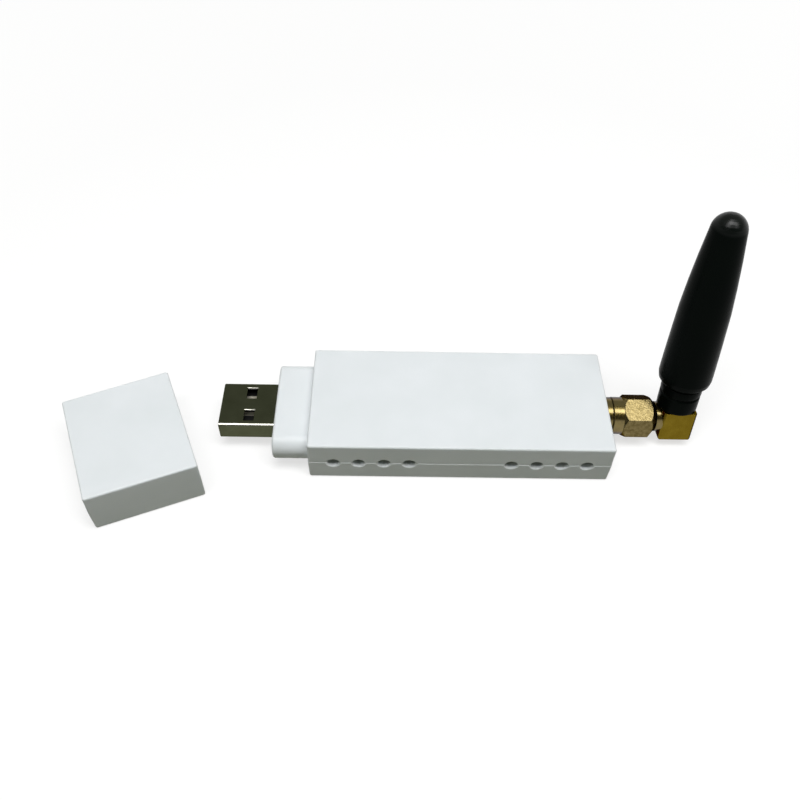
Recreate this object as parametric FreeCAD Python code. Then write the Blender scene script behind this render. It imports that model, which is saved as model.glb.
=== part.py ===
import FreeCAD, Part
import math
import os

from FreeCAD import Vector

# A narrow-band radio stick for a USB port, with its cap taken off and a swivelling stub antenna.
# Millimetres. The origin is the middle of the housing's underside, +X runs towards the antenna,
# -Y is the side that carries the first row of vent holes, and +Z is up.

# Housing, two moulded halves that meet on a level parting plane
HOUSING_LENGTH = 64.4
HOUSING_WIDTH = 27.4
HOUSING_HEIGHT = 10.7
HOUSING_DRAFT = 0.12
HOUSING_CORNER = 0.5
TOP_EDGE_ROUND = 0.45
BOTTOM_EDGE_ROUND = 0.45
WALL = 1.6
SKIN = 1.2
PARTING_BEVEL = 0.22
PARTING_GAP = 0.04

# Stepped lip that lines up the halves, and its snap beads
LIP_THICKNESS = 0.7
LIP_HEIGHT = 1.0
LIP_ROOT = 0.2
LIP_CLEARANCE = 0.08
LIP_STOP = 1.0
SNAP_LENGTH = 4.0
SNAP_DEPTH = 0.3
SNAP_FROM_NECK_END = 13.2
SNAP_FROM_JACK_END = 25.0

# Vent holes, drilled on the parting plane in two groups on each long side
VENT_RADIUS = 1.35
VENT_BEVEL = 0.3
VENT_PITCH = 5.37
VENT_COUNT = 4
VENT_MARGIN = 5.25

# Neck that the cap slides on, stepped in from the housing by the cap's walls
NECK_LENGTH = 7.8
NECK_SIDE_STEP = 1.7
NECK_TOP_STEP = 2.15
NECK_SIDE_FLAT = 0.4
NECK_END_ROUND = 0.6
NECK_WALL = 1.3
NECK_RIB = 0.8

# Plug of the A type: a folded steel shell round a contact tongue
SHELL_WIDTH = 12.0
SHELL_HEIGHT = 4.5
SHELL_SHEET = 0.3
SHELL_BEND = 0.6
SHELL_TIP_CHAMFER = 0.12
SHELL_EXPOSED = 12.0
SHELL_HIDDEN = 6.0
SHELL_CLEARANCE = 0.05
SHELL_SEAM = 0.1
WINDOW_LENGTH = 2.2
WINDOW_WIDTH = 2.9
WINDOW_FROM_TIP = 6.35
WINDOW_OFFSET = 3.1
TONGUE_THICKNESS = 1.9
TONGUE_CORNER = 0.25
TONGUE_RECESS = 0.3
TONGUE_LEAD_IN = 0.5
TONGUE_BLOCK_FROM_TIP = 10.0
TONGUE_CLEARANCE = 0.03
CONTACT_WIDTH = 1.1
CONTACT_THICKNESS = 0.2
CONTACT_DROP = 0.5
CONTACT_TAIL = 1.6
CONTACT_INNER_OFFSET = 1.0
CONTACT_OUTER_OFFSET = 3.5
CONTACT_OUTER_SETBACK = 0.9
CONTACT_INNER_SETBACK = 1.9
CONTACT_SLOT_CLEARANCE = 0.02

# Circuit board, and the posts and pins that hold it
BOARD_THICKNESS = 1.2
BOARD_TOP_BELOW_AXIS = 0.55
BOARD_SIDE_CLEARANCE = 0.3
BOARD_TAB_WIDTH = 11.0
BOARD_TAB_GAP = 0.2
POST_RADIUS = 1.5
POST_CLEARANCE = 0.05
POST_FROM_END = 10.5
POST_FROM_SIDE = 4.1
PIN_RADIUS = 0.8
PIN_HOLE_CLEARANCE = 0.1
PIN_RISE = 1.0

# What stands on the board and hangs under it
MODULE_LENGTH = 15.8
MODULE_WIDTH = 17.7
MODULE_BOARD = 0.8
MODULE_X = 8.0
MODULE_PAD_RADIUS = 0.3
MODULE_PAD_PITCH = 2.2
MODULE_PAD_COUNT = 7
SHIELD_END_MARGIN = 0.6
SHIELD_SIDE_MARGIN = 1.2
SHIELD_HEIGHT = 1.6
SHIELD_SHEET = 0.2
SHIELD_CORNER = 0.5
SIM_X = 5.0
SIM_SOCKET_LENGTH = 14.0
SIM_SOCKET_WIDTH = 12.0
SIM_SOCKET_HEIGHT = 1.4
SIM_SOCKET_SHEET = 0.3
SIM_CARD_LENGTH = 12.3
SIM_CARD_WIDTH = 8.8
SIM_CARD_THICKNESS = 0.67
SIM_CARD_CHAMFER = 1.65
SIM_CARD_PLAY = 0.1
SIM_CARD_LIFT = 0.02
BRIDGE_SIDE = 5.0
BRIDGE_HEIGHT = 0.9
BRIDGE_X = -21.5
REGULATOR_LENGTH = 6.5
REGULATOR_WIDTH = 3.5
REGULATOR_HEIGHT = 1.6
REGULATOR_TAB_WIDTH = 3.0
REGULATOR_LEG_WIDTH = 0.7
REGULATOR_LEG_PITCH = 2.3
REGULATOR_LEAD_REACH = 1.5
REGULATOR_LEAD_THICKNESS = 0.3
REGULATOR_X = -12.0
REGULATOR_FROM_EDGE = 2.85
INDUCTOR_SIDE = 4.0
INDUCTOR_HEIGHT = 2.0
INDUCTOR_CHAMFER = 0.6
INDUCTOR_X = -12.0
INDUCTOR_FROM_EDGE = 4.6
CRYSTAL_LENGTH = 3.2
CRYSTAL_WIDTH = 2.5
CRYSTAL_HEIGHT = 0.8
CRYSTAL_X = -21.5
CRYSTAL_FROM_EDGE = 4.35
CAPACITOR_LENGTH = 3.2
CAPACITOR_WIDTH = 1.6
CAPACITOR_HEIGHT = 1.2
CAPACITOR_COLUMN_X = -5.5
CAPACITOR_PITCH = 3.0
CAPACITOR_COUNT = 5
LED_LENGTH = 1.6
LED_WIDTH = 0.8
LED_BASE_HEIGHT = 0.3
LED_LENS_LENGTH = 1.0
LED_LENS_HEIGHT = 0.3
LED_FROM_EDGE = 0.6

# Board-edge jack in the antenna end wall
JACK_BASE_SIDE = 6.35
JACK_BASE_THICKNESS = 2.1
JACK_LEG_LENGTH = 3.6
JACK_LEG_WIDTH = 1.0
JACK_LEG_RISE = 1.0
JACK_BODY_RADIUS = 3.175
JACK_MOUTH_CHAMFER = 0.3
JACK_WALL_CLEARANCE = 0.08
JACK_FLANGE_RADIUS = 4.1
JACK_FLANGE_THICKNESS = 1.35
JACK_SEAT_RADIUS = 4.4
JACK_COUNTERBORE_RADIUS = 2.32
JACK_COUNTERBORE_DEPTH = 2.4
JACK_TAIL_LENGTH = 2.4
LINE_INSULATOR_RADIUS = 2.03
LINE_FIT = 0.02
CENTRE_CONTACT_RADIUS = 0.63
CENTRE_SOCKET_RADIUS = 0.5
CENTRE_SOCKET_DEPTH = 4.0
CENTRE_SLIT = 0.16

# Right-angle plug and its coupling nut
NUT_START_GAP = 0.15
NUT_LENGTH = 9.55
NUT_COLLAR_LENGTH = 2.35
NUT_COLLAR_RADIUS = 4.15
NUT_ACROSS_FLATS = 8.55
NUT_EDGE_BREAK = 0.2
NUT_FRONT_CHAMFER = 0.85
NUT_REAR_CHAMFER = 1.5
NUT_REAR_RADIUS = 3.25
NUT_TURN_DEG = 52.0
NUT_THREAD_CLEARANCE = 0.08
NUT_MOUTH_CHAMFER = 0.3
NUT_BACK_WALL = 2.1
PLUG_FLANGE_THICKNESS = 1.1
PLUG_FLANGE_PLAY = 0.3
PLUG_FLANGE_CLEARANCE = 0.1
PLUG_BARREL_RADIUS = 2.6
PLUG_RUNNING_CLEARANCE = 0.08
PLUG_SLEEVE_RADIUS = 2.25
PLUG_SLEEVE_GAP = 0.2
PLUG_NECK_RADIUS = 3.35
PLUG_NECK_GAP = 0.15
PLUG_NECK_LENGTH = 1.2
RING_WIDTH = 0.5
RING_SETBACK = 0.8
RING_GROOVE_PLAY = 0.1
RING_SEAT_PLAY = 0.05
RING_INNER_RADIUS = 2.25
RING_OUTER_RADIUS = 3.4
RING_OPENING_DEG = 50.0
GASKET_THICKNESS = 0.45
GASKET_OUTER_RADIUS = 3.05
GASKET_CLEARANCE = 0.05
PIN_CONTACT_RADIUS = 0.45
PIN_CONTACT_REACH = 3.0
PIN_TIP_RADIUS = 0.2
PIN_TIP_LENGTH = 0.4
ELBOW_SIDE = 7.1
ELBOW_HEIGHT = 8.3
ELBOW_CHAMFER = 0.4
ELBOW_INSULATOR_REACH = 0.6
ELBOW_PORT_RADIUS = 2.4
ELBOW_PORT_LEDGE = 0.5
ELBOW_COVER_THICKNESS = 0.6
ELBOW_COVER_CHAMFER = 0.1
ELBOW_COVER_FIT = 0.02
BOSS_FROM_NECK = 3.3
BOSS_RADIUS = 3.0
BOSS_LENGTH = 4.0
BOSS_BARB_COUNT = 2
BOSS_BARB_DEPTH = 0.35
BOSS_BORE_RADIUS = 1.8

# Antenna on the elbow, leaning back from upright
ANTENNA_LEAN_DEG = 11.2
BOOT_SOCKET_CLEARANCE = 0.05
BOOT_EDGE = 0.3
BOOT_BASE_RADIUS = 4.5
BOOT_LIP_HEIGHT = 0.5
BOOT_BASE_HEIGHT = 3.05
BOOT_GROOVE_RADIUS = 3.9
BOOT_RING_RADIUS = 4.35
BOOT_RING_START = 3.65
BOOT_RING_END = 5.5
BOOT_BODY_START = 6.1
BOOT_BODY_RADIUS = 5.6
BOOT_BODY_FLARE = 0.8
BOOT_FLARE_HEIGHT = 0.65
BOOT_SHOULDER_RADIUS = 5.4
BOOT_SHOULDER_HEIGHT = 1.9
BOOT_WAIST_RADIUS = 5.15
BOOT_WAIST_HEIGHT = 24.5
BOOT_TIP_RADIUS = 3.5
BOOT_TIP_SLOPE_DEG = 5.3
BOOT_LENGTH = 45.2
COIL_WIRE = 0.6
COIL_MEAN_RADIUS = 2.3
COIL_PITCH = 5.6
COIL_TURNS = 5
COIL_CLEARANCE = 0.1
CORE_CLEARANCE = 0.05
FEED_RADIUS = 0.6
FEED_COLLAR_THICKNESS = 0.5
FEED_REACH = 2.0
FEED_GAP = 0.05

# Cap, lying flat beside the plug with its mouth towards it
CAP_LENGTH = 22.8
CAP_TAPER = 0.3
CAP_EDGE_ROUND = 0.4
CAP_END_WALL = 2.0
CAP_FIT_CLEARANCE = 0.12
CAP_MOUTH_CHAMFER = 0.3
CAP_CENTRE_X = -69.6
CAP_CENTRE_Y = -10.6
CAP_TURN_DEG = 22.9

# How far a cutting solid runs past the face it opens, and how far joined solids reach into each other
PAST = 1.0
JOIN = 0.1

# Places that follow from the sizes above
AXIS_Z = HOUSING_HEIGHT / 2
HALF_LENGTH = HOUSING_LENGTH / 2
HALF_WIDTH = HOUSING_WIDTH / 2
CAVITY_X = HALF_LENGTH - WALL
CAVITY_Y = HALF_WIDTH - WALL
SEAT_X = HALF_LENGTH + HOUSING_DRAFT
NECK_WIDTH = HOUSING_WIDTH - 2 * NECK_SIDE_STEP
NECK_HEIGHT = HOUSING_HEIGHT - 2 * NECK_TOP_STEP
NECK_ROUND = (NECK_HEIGHT - NECK_SIDE_FLAT) / 2
NECK_END_X = -HALF_LENGTH - NECK_LENGTH
TIP_X = NECK_END_X - SHELL_EXPOSED
SHELL_REAR_X = NECK_END_X + SHELL_HIDDEN
TONGUE_TOP = AXIS_Z - SHELL_HEIGHT / 2 + SHELL_SHEET + TONGUE_CLEARANCE + TONGUE_THICKNESS
BOARD_TOP = AXIS_Z - BOARD_TOP_BELOW_AXIS
BOARD_BOTTOM = BOARD_TOP - BOARD_THICKNESS
BOARD_HALF_WIDTH = CAVITY_Y - BOARD_SIDE_CLEARANCE
BASE_X = CAVITY_X - JACK_BASE_THICKNESS
FLANGE_END_X = SEAT_X + JACK_FLANGE_THICKNESS
NUT_X = FLANGE_END_X + NUT_START_GAP
NUT_HEXAGON_X = NUT_X + NUT_COLLAR_LENGTH
NUT_END_X = NUT_X + NUT_LENGTH
NUT_BACK_X = NUT_END_X - NUT_BACK_WALL
RING_X = NUT_BACK_X + RING_SETBACK
RING_END_X = RING_X + RING_WIDTH
PLUG_FLANGE_END_X = NUT_BACK_X - PLUG_FLANGE_PLAY
PLUG_FLANGE_X = PLUG_FLANGE_END_X - PLUG_FLANGE_THICKNESS
GASKET_X = PLUG_FLANGE_X - GASKET_THICKNESS
MOUTH_X = GASKET_X - GASKET_CLEARANCE
LINE_END_X = MOUTH_X - JACK_COUNTERBORE_DEPTH
SLEEVE_X = LINE_END_X + PLUG_SLEEVE_GAP
NECK_X = NUT_END_X + PLUG_NECK_GAP
ELBOW_X = NECK_X + PLUG_NECK_LENGTH
ELBOW_END_X = ELBOW_X + ELBOW_SIDE
ANTENNA_X = ELBOW_X + BOSS_FROM_NECK
ANTENNA_AXIS = Vector(ANTENNA_X, 0, AXIS_Z)
LINE_BORE_RADIUS = LINE_INSULATOR_RADIUS + LINE_FIT
NUT_BORE_RADIUS = JACK_BODY_RADIUS + NUT_THREAD_CLEARANCE
BOSS_TOP = ELBOW_HEIGHT / 2 + BOSS_LENGTH
CORE_START = BOSS_TOP + FEED_GAP + FEED_COLLAR_THICKNESS
CORE_END = CORE_START + COIL_PITCH * COIL_TURNS + COIL_WIRE + 2 * COIL_CLEARANCE


def save(shape, name):
    shape.exportStep("parts/" + name + ".step")


def box(x0, x1, y0, y1, z0, z1):
    return Part.makeBox(x1 - x0, y1 - y0, z1 - z0, Vector(x0, y0, z0))


def block(length, width, height, x, y, z0):
    """A box that stands at the height z0, centred on (x, y)."""
    return box(x - length / 2, x + length / 2, y - width / 2, y + width / 2, z0, z0 + height)


def whole_width(x0, x1, z0, z1):
    return box(x0, x1, -HOUSING_WIDTH, HOUSING_WIDTH, z0, z1)


def rod_x(radius, x0, x1):
    """A round bar on the plug's axis."""
    return Part.makeCylinder(radius, x1 - x0, Vector(x0, 0, AXIS_Z), Vector(1, 0, 0))


def rod_z(radius, x, y, z0, z1):
    return Part.makeCylinder(radius, z1 - z0, Vector(x, y, z0))


def polygon_face(points):
    return Part.Face(Part.makePolygon(points + points[:1]))


def edges_at(shape, x=None, z=None):
    """The edges that lie in the plane at the given x or z."""
    found = []
    for edge in shape.Edges:
        if x is not None and all(abs(v.X - x) < 1e-6 for v in edge.Vertexes):
            found.append(edge)
        if z is not None and all(abs(v.Z - z) < 1e-6 for v in edge.Vertexes):
            found.append(edge)
    return found


def edges_along(shape, direction, length):
    """The edges that reach most of the given length along a direction."""
    found = []
    for edge in shape.Edges:
        reach = edge.Vertexes[-1].Point - edge.Vertexes[0].Point
        if abs(reach.dot(direction)) > 0.8 * length:
            found.append(edge)
    return found


def rounded_bar(width, height, radius, x0, x1):
    """A bar along X with a rounded rectangular section on the plug's axis."""
    bar = box(x0, x1, -width / 2, width / 2, AXIS_Z - height / 2, AXIS_Z + height / 2)
    return bar.makeFillet(radius, edges_along(bar, Vector(1, 0, 0), x1 - x0))


def outset(corners, distance):
    """Corners of a level outline, taken anticlockwise, with every side moved outwards."""
    moved = []
    count = len(corners)
    for i, corner in enumerate(corners):
        before = (corner - corners[i - 1]).normalize()
        after = (corners[(i + 1) % count] - corner).normalize()
        normal_before = Vector(before.y, -before.x, 0)
        normal_after = Vector(after.y, -after.x, 0)
        stretch = distance / (1 + normal_before.dot(normal_after))
        moved.append(corner + (normal_before + normal_after) * stretch)
    return moved


def frustum(lower, upper):
    """A solid with flat slanting sides between two level outlines, each a height and its corners."""
    base = [Vector(p.x, p.y, lower[0]) for p in lower[1]]
    top = [Vector(p.x, p.y, upper[0]) for p in upper[1]]
    faces = [polygon_face(base[::-1]), polygon_face(top)]
    for i in range(len(base)):
        j = (i + 1) % len(base)
        faces.append(polygon_face([base[i], base[j], top[j], top[i]]))
    return Part.makeSolid(Part.makeShell(faces))


def drafted_half(corners, z_face, edge_round):
    """Half of a moulded box: widest just off the parting plane, narrowing to its flat face."""
    wide = (AXIS_Z, outset(corners, HOUSING_DRAFT))
    narrow = (z_face, corners)
    half = frustum(wide, narrow) if z_face > AXIS_Z else frustum(narrow, wide)
    upright = edges_along(half, Vector(0, 0, 1), abs(z_face - AXIS_Z))
    half = half.makeFillet(HOUSING_CORNER, upright)
    return half.makeFillet(edge_round, edges_at(half, z=z_face))


def vent_drills(bevel):
    """Round drills for both side walls, with a cone at each mouth where there is a bevel."""
    drills = []
    outside = HALF_WIDTH + HOUSING_DRAFT + PAST
    for i in range(VENT_COUNT):
        offset = HALF_LENGTH - VENT_MARGIN - i * VENT_PITCH
        for x in (-offset, offset):
            for side in (-1, 1):
                start = Vector(x, side * outside, AXIS_Z)
                inwards = Vector(0, -side, 0)
                drills.append(Part.makeCylinder(VENT_RADIUS, WALL + 2 * PAST, start, inwards))
                if bevel:
                    depth = bevel + PAST
                    drills.append(Part.makeCone(VENT_RADIUS + depth, VENT_RADIUS, depth, start, inwards))
    return drills


def neck_bar():
    bar = rounded_bar(NECK_WIDTH, NECK_HEIGHT, NECK_ROUND, NECK_END_X, -CAVITY_X)
    return bar.makeFillet(NECK_END_ROUND, edges_at(bar, x=NECK_END_X))


def shell_bar(grow, x0, x1, radius):
    """The plug shell's outline, grown all round, as a bar along X."""
    return rounded_bar(SHELL_WIDTH + 2 * grow, SHELL_HEIGHT + 2 * grow, radius, x0, x1)


def neck_hollow():
    """Room inside the neck: a wide slot with the plug's pocket between two ribs."""
    height = SHELL_HEIGHT + 2 * SHELL_CLEARANCE
    width = NECK_WIDTH - 2 * NECK_WALL
    room_x = NECK_END_X + NECK_WALL
    slot = rounded_bar(width, height, height / 2 - JOIN, room_x, -CAVITY_X + PAST)
    rib_inner = SHELL_WIDTH / 2 + SHELL_CLEARANCE
    for side in (-1, 1):
        near = side * rib_inner
        far = side * (rib_inner + NECK_RIB)
        rib = box(NECK_END_X, SHELL_REAR_X, min(near, far), max(near, far), 0, HOUSING_HEIGHT)
        slot = slot.cut(rib)
    mouth = shell_bar(SHELL_CLEARANCE, NECK_END_X - PAST, room_x + JOIN, SHELL_BEND)
    return slot.fuse(mouth)


def lip_ring(inner, outer, z0, z1):
    """A band of wall round the cavity, from one distance outside it to another."""
    ring = box(-CAVITY_X - outer, CAVITY_X + outer, -CAVITY_Y - outer, CAVITY_Y + outer, z0, z1)
    hole = box(-CAVITY_X - inner, CAVITY_X + inner, -CAVITY_Y - inner, CAVITY_Y + inner,
               z0 - PAST, z1 + PAST)
    return ring.cut(hole)


def lip_gaps():
    """Where the lip stops for the neck and for the jack."""
    half_jack = JACK_BODY_RADIUS + LIP_STOP
    half_neck = NECK_WIDTH / 2
    return [
        box(-HALF_LENGTH - PAST, -CAVITY_X + LIP_STOP, -half_neck, half_neck, 0, HOUSING_HEIGHT),
        box(CAVITY_X - LIP_STOP, HALF_LENGTH + PAST, -half_jack, half_jack, 0, HOUSING_HEIGHT),
    ]


def snap_beads(grow):
    """Rounded beads along the outside of the lip."""
    beads = []
    length = SNAP_LENGTH + 2 * grow
    for x in (-HALF_LENGTH + SNAP_FROM_NECK_END, HALF_LENGTH - SNAP_FROM_JACK_END):
        for side in (-1, 1):
            start = Vector(x - length / 2, side * (CAVITY_Y + LIP_THICKNESS), AXIS_Z + LIP_HEIGHT / 2)
            beads.append(Part.makeCylinder(SNAP_DEPTH + grow, length, start, Vector(1, 0, 0)))
    return beads


def post_places():
    """Where the board's posts stand, and whether a pin locates the board there."""
    x = HALF_LENGTH - POST_FROM_END
    y = HALF_WIDTH - POST_FROM_SIDE
    return [(-x, -y, True), (-x, y, False), (x, -y, False), (x, y, True)]


def jack_passage():
    return rod_x(JACK_BODY_RADIUS + JACK_WALL_CLEARANCE, CAVITY_X - PAST, SEAT_X + PAST)


def cover_blank(z_face, edge_round):
    """One half with its part of the neck and the jack's round seat, still solid."""
    plan = [
        Vector(-HALF_LENGTH, -HALF_WIDTH, 0),
        Vector(HALF_LENGTH, -HALF_WIDTH, 0),
        Vector(HALF_LENGTH, HALF_WIDTH, 0),
        Vector(-HALF_LENGTH, HALF_WIDTH, 0),
    ]
    half = drafted_half(plan, z_face, edge_round)
    if z_face < AXIS_Z:
        half = half.makeChamfer(PARTING_BEVEL, edges_at(half, z=AXIS_Z))
    keep = whole_width(-HOUSING_LENGTH, HOUSING_LENGTH, min(AXIS_Z, z_face), max(AXIS_Z, z_face))
    seat = rod_x(JACK_SEAT_RADIUS, CAVITY_X, SEAT_X)
    return half.fuse([neck_bar().common(keep), seat.common(keep)]).removeSplitter()


def make_bottom_cover():
    cover = cover_blank(0.0, BOTTOM_EDGE_ROUND)
    room = box(-CAVITY_X, CAVITY_X, -CAVITY_Y, CAVITY_Y, SKIN, AXIS_Z + PAST)
    cover = cover.cut([room, neck_hollow()])
    posts = []
    for x, y, pinned in post_places():
        posts.append(rod_z(POST_RADIUS, x, y, SKIN - JOIN, BOARD_BOTTOM))
        if pinned:
            posts.append(rod_z(PIN_RADIUS, x, y, BOARD_BOTTOM - JOIN, BOARD_TOP + PIN_RISE))
    lip = lip_ring(0.0, LIP_THICKNESS, AXIS_Z - LIP_ROOT, AXIS_Z + LIP_HEIGHT)
    lip = lip.fuse(snap_beads(0.0)).cut(lip_gaps())
    cover = cover.fuse([lip] + posts)
    return cover.cut(vent_drills(VENT_BEVEL) + [jack_passage()]).removeSplitter()


def make_top_cover():
    cover = cover_blank(HOUSING_HEIGHT, TOP_EDGE_ROUND)
    ceiling = HOUSING_HEIGHT - SKIN
    room = box(-CAVITY_X, CAVITY_X, -CAVITY_Y, CAVITY_Y, AXIS_Z - PAST, ceiling)
    step_top = AXIS_Z + LIP_HEIGHT + LIP_CLEARANCE
    step = lip_ring(-JOIN, LIP_THICKNESS + LIP_CLEARANCE, AXIS_Z - PAST, step_top)
    cover = cover.cut([room, neck_hollow(), step.cut(lip_gaps())] + snap_beads(LIP_CLEARANCE))
    foot = BOARD_TOP + POST_CLEARANCE
    posts = []
    for x, y, pinned in post_places():
        post = rod_z(POST_RADIUS, x, y, foot, ceiling + JOIN)
        if pinned:
            well_top = BOARD_TOP + PIN_RISE + PIN_HOLE_CLEARANCE
            post = post.cut(rod_z(PIN_RADIUS + PIN_HOLE_CLEARANCE, x, y, BOARD_TOP, well_top))
        posts.append(post)
    below = whole_width(-HOUSING_LENGTH, HOUSING_LENGTH, 0, AXIS_Z + PARTING_GAP)
    below = below.cut(box(-CAVITY_X, CAVITY_X, -CAVITY_Y, CAVITY_Y, 0, AXIS_Z + PAST))
    cover = cover.fuse(posts).cut(vent_drills(0) + [jack_passage(), below])
    return cover.removeSplitter()


def make_usb_shell():
    """Sheet folded into a tube, with latch windows above and below and the seam underneath."""
    tube = shell_bar(0.0, TIP_X, SHELL_REAR_X, SHELL_BEND)
    tube = tube.makeChamfer(SHELL_TIP_CHAMFER, edges_at(tube, x=TIP_X))
    room = shell_bar(-SHELL_SHEET, TIP_X - PAST, SHELL_REAR_X + PAST, SHELL_BEND - SHELL_SHEET)
    cuts = [room]
    for side in (-1, 1):
        x = TIP_X + WINDOW_FROM_TIP
        cuts.append(block(WINDOW_LENGTH, WINDOW_WIDTH, HOUSING_HEIGHT, x, side * WINDOW_OFFSET, 0))
    cuts.append(box(TIP_X - PAST, SHELL_REAR_X + PAST, -SHELL_SEAM / 2, SHELL_SEAM / 2, 0, AXIS_Z))
    return tube.cut(cuts)


def contact_strip(y, setback, grow=0.0):
    """A pressed contact: flat on the tongue, then a step down to its solder tail on the board."""
    top = TONGUE_TOP + grow
    bottom = top - CONTACT_THICKNESS - 2 * grow
    front = TIP_X + setback - grow
    drop = SHELL_REAR_X + CONTACT_DROP
    tail_top = BOARD_TOP + CONTACT_THICKNESS
    tail_end = drop + CONTACT_TAIL
    side = y - CONTACT_WIDTH / 2 - grow
    profile = polygon_face([
        Vector(front, side, bottom),
        Vector(front, side, top),
        Vector(drop, side, top),
        Vector(drop, side, tail_top),
        Vector(tail_end, side, tail_top),
        Vector(tail_end, side, BOARD_TOP),
        Vector(drop - CONTACT_THICKNESS, side, BOARD_TOP),
        Vector(drop - CONTACT_THICKNESS, side, bottom),
    ])
    return profile.extrude(Vector(0, CONTACT_WIDTH + 2 * grow, 0))


def contact_places():
    """Each contact's offset from the middle and its distance behind the tip."""
    return [
        (-CONTACT_OUTER_OFFSET, CONTACT_OUTER_SETBACK),
        (-CONTACT_INNER_OFFSET, CONTACT_INNER_SETBACK),
        (CONTACT_INNER_OFFSET, CONTACT_INNER_SETBACK),
        (CONTACT_OUTER_OFFSET, CONTACT_OUTER_SETBACK),
    ]


def make_usb_tongue():
    """Moulded insulator: a block that fills the shell's rear and the tongue in its lower half."""
    room = SHELL_SHEET + TONGUE_CLEARANCE
    front = TIP_X + TONGUE_RECESS
    rear_block = shell_bar(-room, TIP_X + TONGUE_BLOCK_FROM_TIP, SHELL_REAR_X, TONGUE_CORNER)
    tongue = shell_bar(-room, front, SHELL_REAR_X, TONGUE_CORNER)
    tongue = tongue.common(whole_width(TIP_X, SHELL_REAR_X, 0, TONGUE_TOP))
    nose = [e for e in edges_at(tongue, x=front) if abs(e.CenterOfMass.z - TONGUE_TOP) < 1e-6]
    tongue = tongue.makeChamfer(TONGUE_LEAD_IN, nose)
    slots = [contact_strip(y, setback, CONTACT_SLOT_CLEARANCE) for y, setback in contact_places()]
    return rear_block.fuse(tongue).removeSplitter().cut(slots)


def make_circuit_board():
    """Board over the posts, with a tab that reaches into the neck to the plug's contacts."""
    front = -CAVITY_X + BOARD_SIDE_CLEARANCE
    half_tab = BOARD_TAB_WIDTH / 2
    board = box(front, BASE_X, -BOARD_HALF_WIDTH, BOARD_HALF_WIDTH, BOARD_BOTTOM, BOARD_TOP)
    tab = box(SHELL_REAR_X + BOARD_TAB_GAP, front + JOIN, -half_tab, half_tab, BOARD_BOTTOM, BOARD_TOP)
    holes = []
    for x, y, pinned in post_places():
        if pinned:
            hole_radius = PIN_RADIUS + PIN_HOLE_CLEARANCE
            holes.append(rod_z(hole_radius, x, y, BOARD_BOTTOM - PAST, BOARD_TOP + PAST))
    return board.fuse(tab).removeSplitter().cut(holes)


def make_module_board():
    """Radio module's own board, with half-round solder pads along two edges."""
    board = block(MODULE_LENGTH, MODULE_WIDTH, MODULE_BOARD, MODULE_X, 0, BOARD_TOP)
    z1 = BOARD_TOP + MODULE_BOARD + PAST
    pads = []
    for i in range(MODULE_PAD_COUNT):
        x = MODULE_X + (i - (MODULE_PAD_COUNT - 1) / 2) * MODULE_PAD_PITCH
        for side in (-1, 1):
            pads.append(rod_z(MODULE_PAD_RADIUS, x, side * MODULE_WIDTH / 2, BOARD_TOP - PAST, z1))
    return board.cut(pads)


def make_module_shield():
    """Pressed can over the module, open underneath."""
    length = MODULE_LENGTH - 2 * SHIELD_END_MARGIN
    width = MODULE_WIDTH - 2 * SHIELD_SIDE_MARGIN
    z0 = BOARD_TOP + MODULE_BOARD
    can = block(length, width, SHIELD_HEIGHT, MODULE_X, 0, z0)
    can = can.makeFillet(SHIELD_CORNER, edges_along(can, Vector(0, 0, 1), SHIELD_HEIGHT))
    inside_length = length - 2 * SHIELD_SHEET
    inside_width = width - 2 * SHIELD_SHEET
    return can.cut(block(inside_length, inside_width, SHIELD_HEIGHT - SHIELD_SHEET, MODULE_X, 0, z0))


def make_sim_socket():
    """Folded steel socket under the board, open at the end the card goes in."""
    z0 = BOARD_BOTTOM - SIM_SOCKET_HEIGHT
    x0 = SIM_X - SIM_SOCKET_LENGTH / 2
    x1 = SIM_X + SIM_SOCKET_LENGTH / 2
    half = SIM_SOCKET_WIDTH / 2
    half_room = SIM_CARD_WIDTH / 2 + SIM_CARD_PLAY
    floor = z0 + SIM_SOCKET_SHEET
    room = box(x0 + SIM_SOCKET_SHEET, x1 + PAST, -half_room, half_room,
               floor, floor + SIM_CARD_THICKNESS + SIM_CARD_PLAY)
    return box(x0, x1, -half, half, z0, BOARD_BOTTOM).cut(room)


def make_sim_card():
    """Card with one corner cut off, pushed home in its socket."""
    z0 = BOARD_BOTTOM - SIM_SOCKET_HEIGHT + SIM_SOCKET_SHEET + SIM_CARD_LIFT
    x0 = SIM_X - SIM_SOCKET_LENGTH / 2 + SIM_SOCKET_SHEET + SIM_CARD_PLAY
    x1 = x0 + SIM_CARD_LENGTH
    half = SIM_CARD_WIDTH / 2
    outline = polygon_face([
        Vector(x0, -half, z0),
        Vector(x1, -half, z0),
        Vector(x1, half, z0),
        Vector(x0 + SIM_CARD_CHAMFER, half, z0),
        Vector(x0, half - SIM_CARD_CHAMFER, z0),
    ])
    return outline.extrude(Vector(0, 0, SIM_CARD_THICKNESS))


def make_bridge_chip():
    return block(BRIDGE_SIDE, BRIDGE_SIDE, BRIDGE_HEIGHT, BRIDGE_X, 0, BOARD_TOP)


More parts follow.
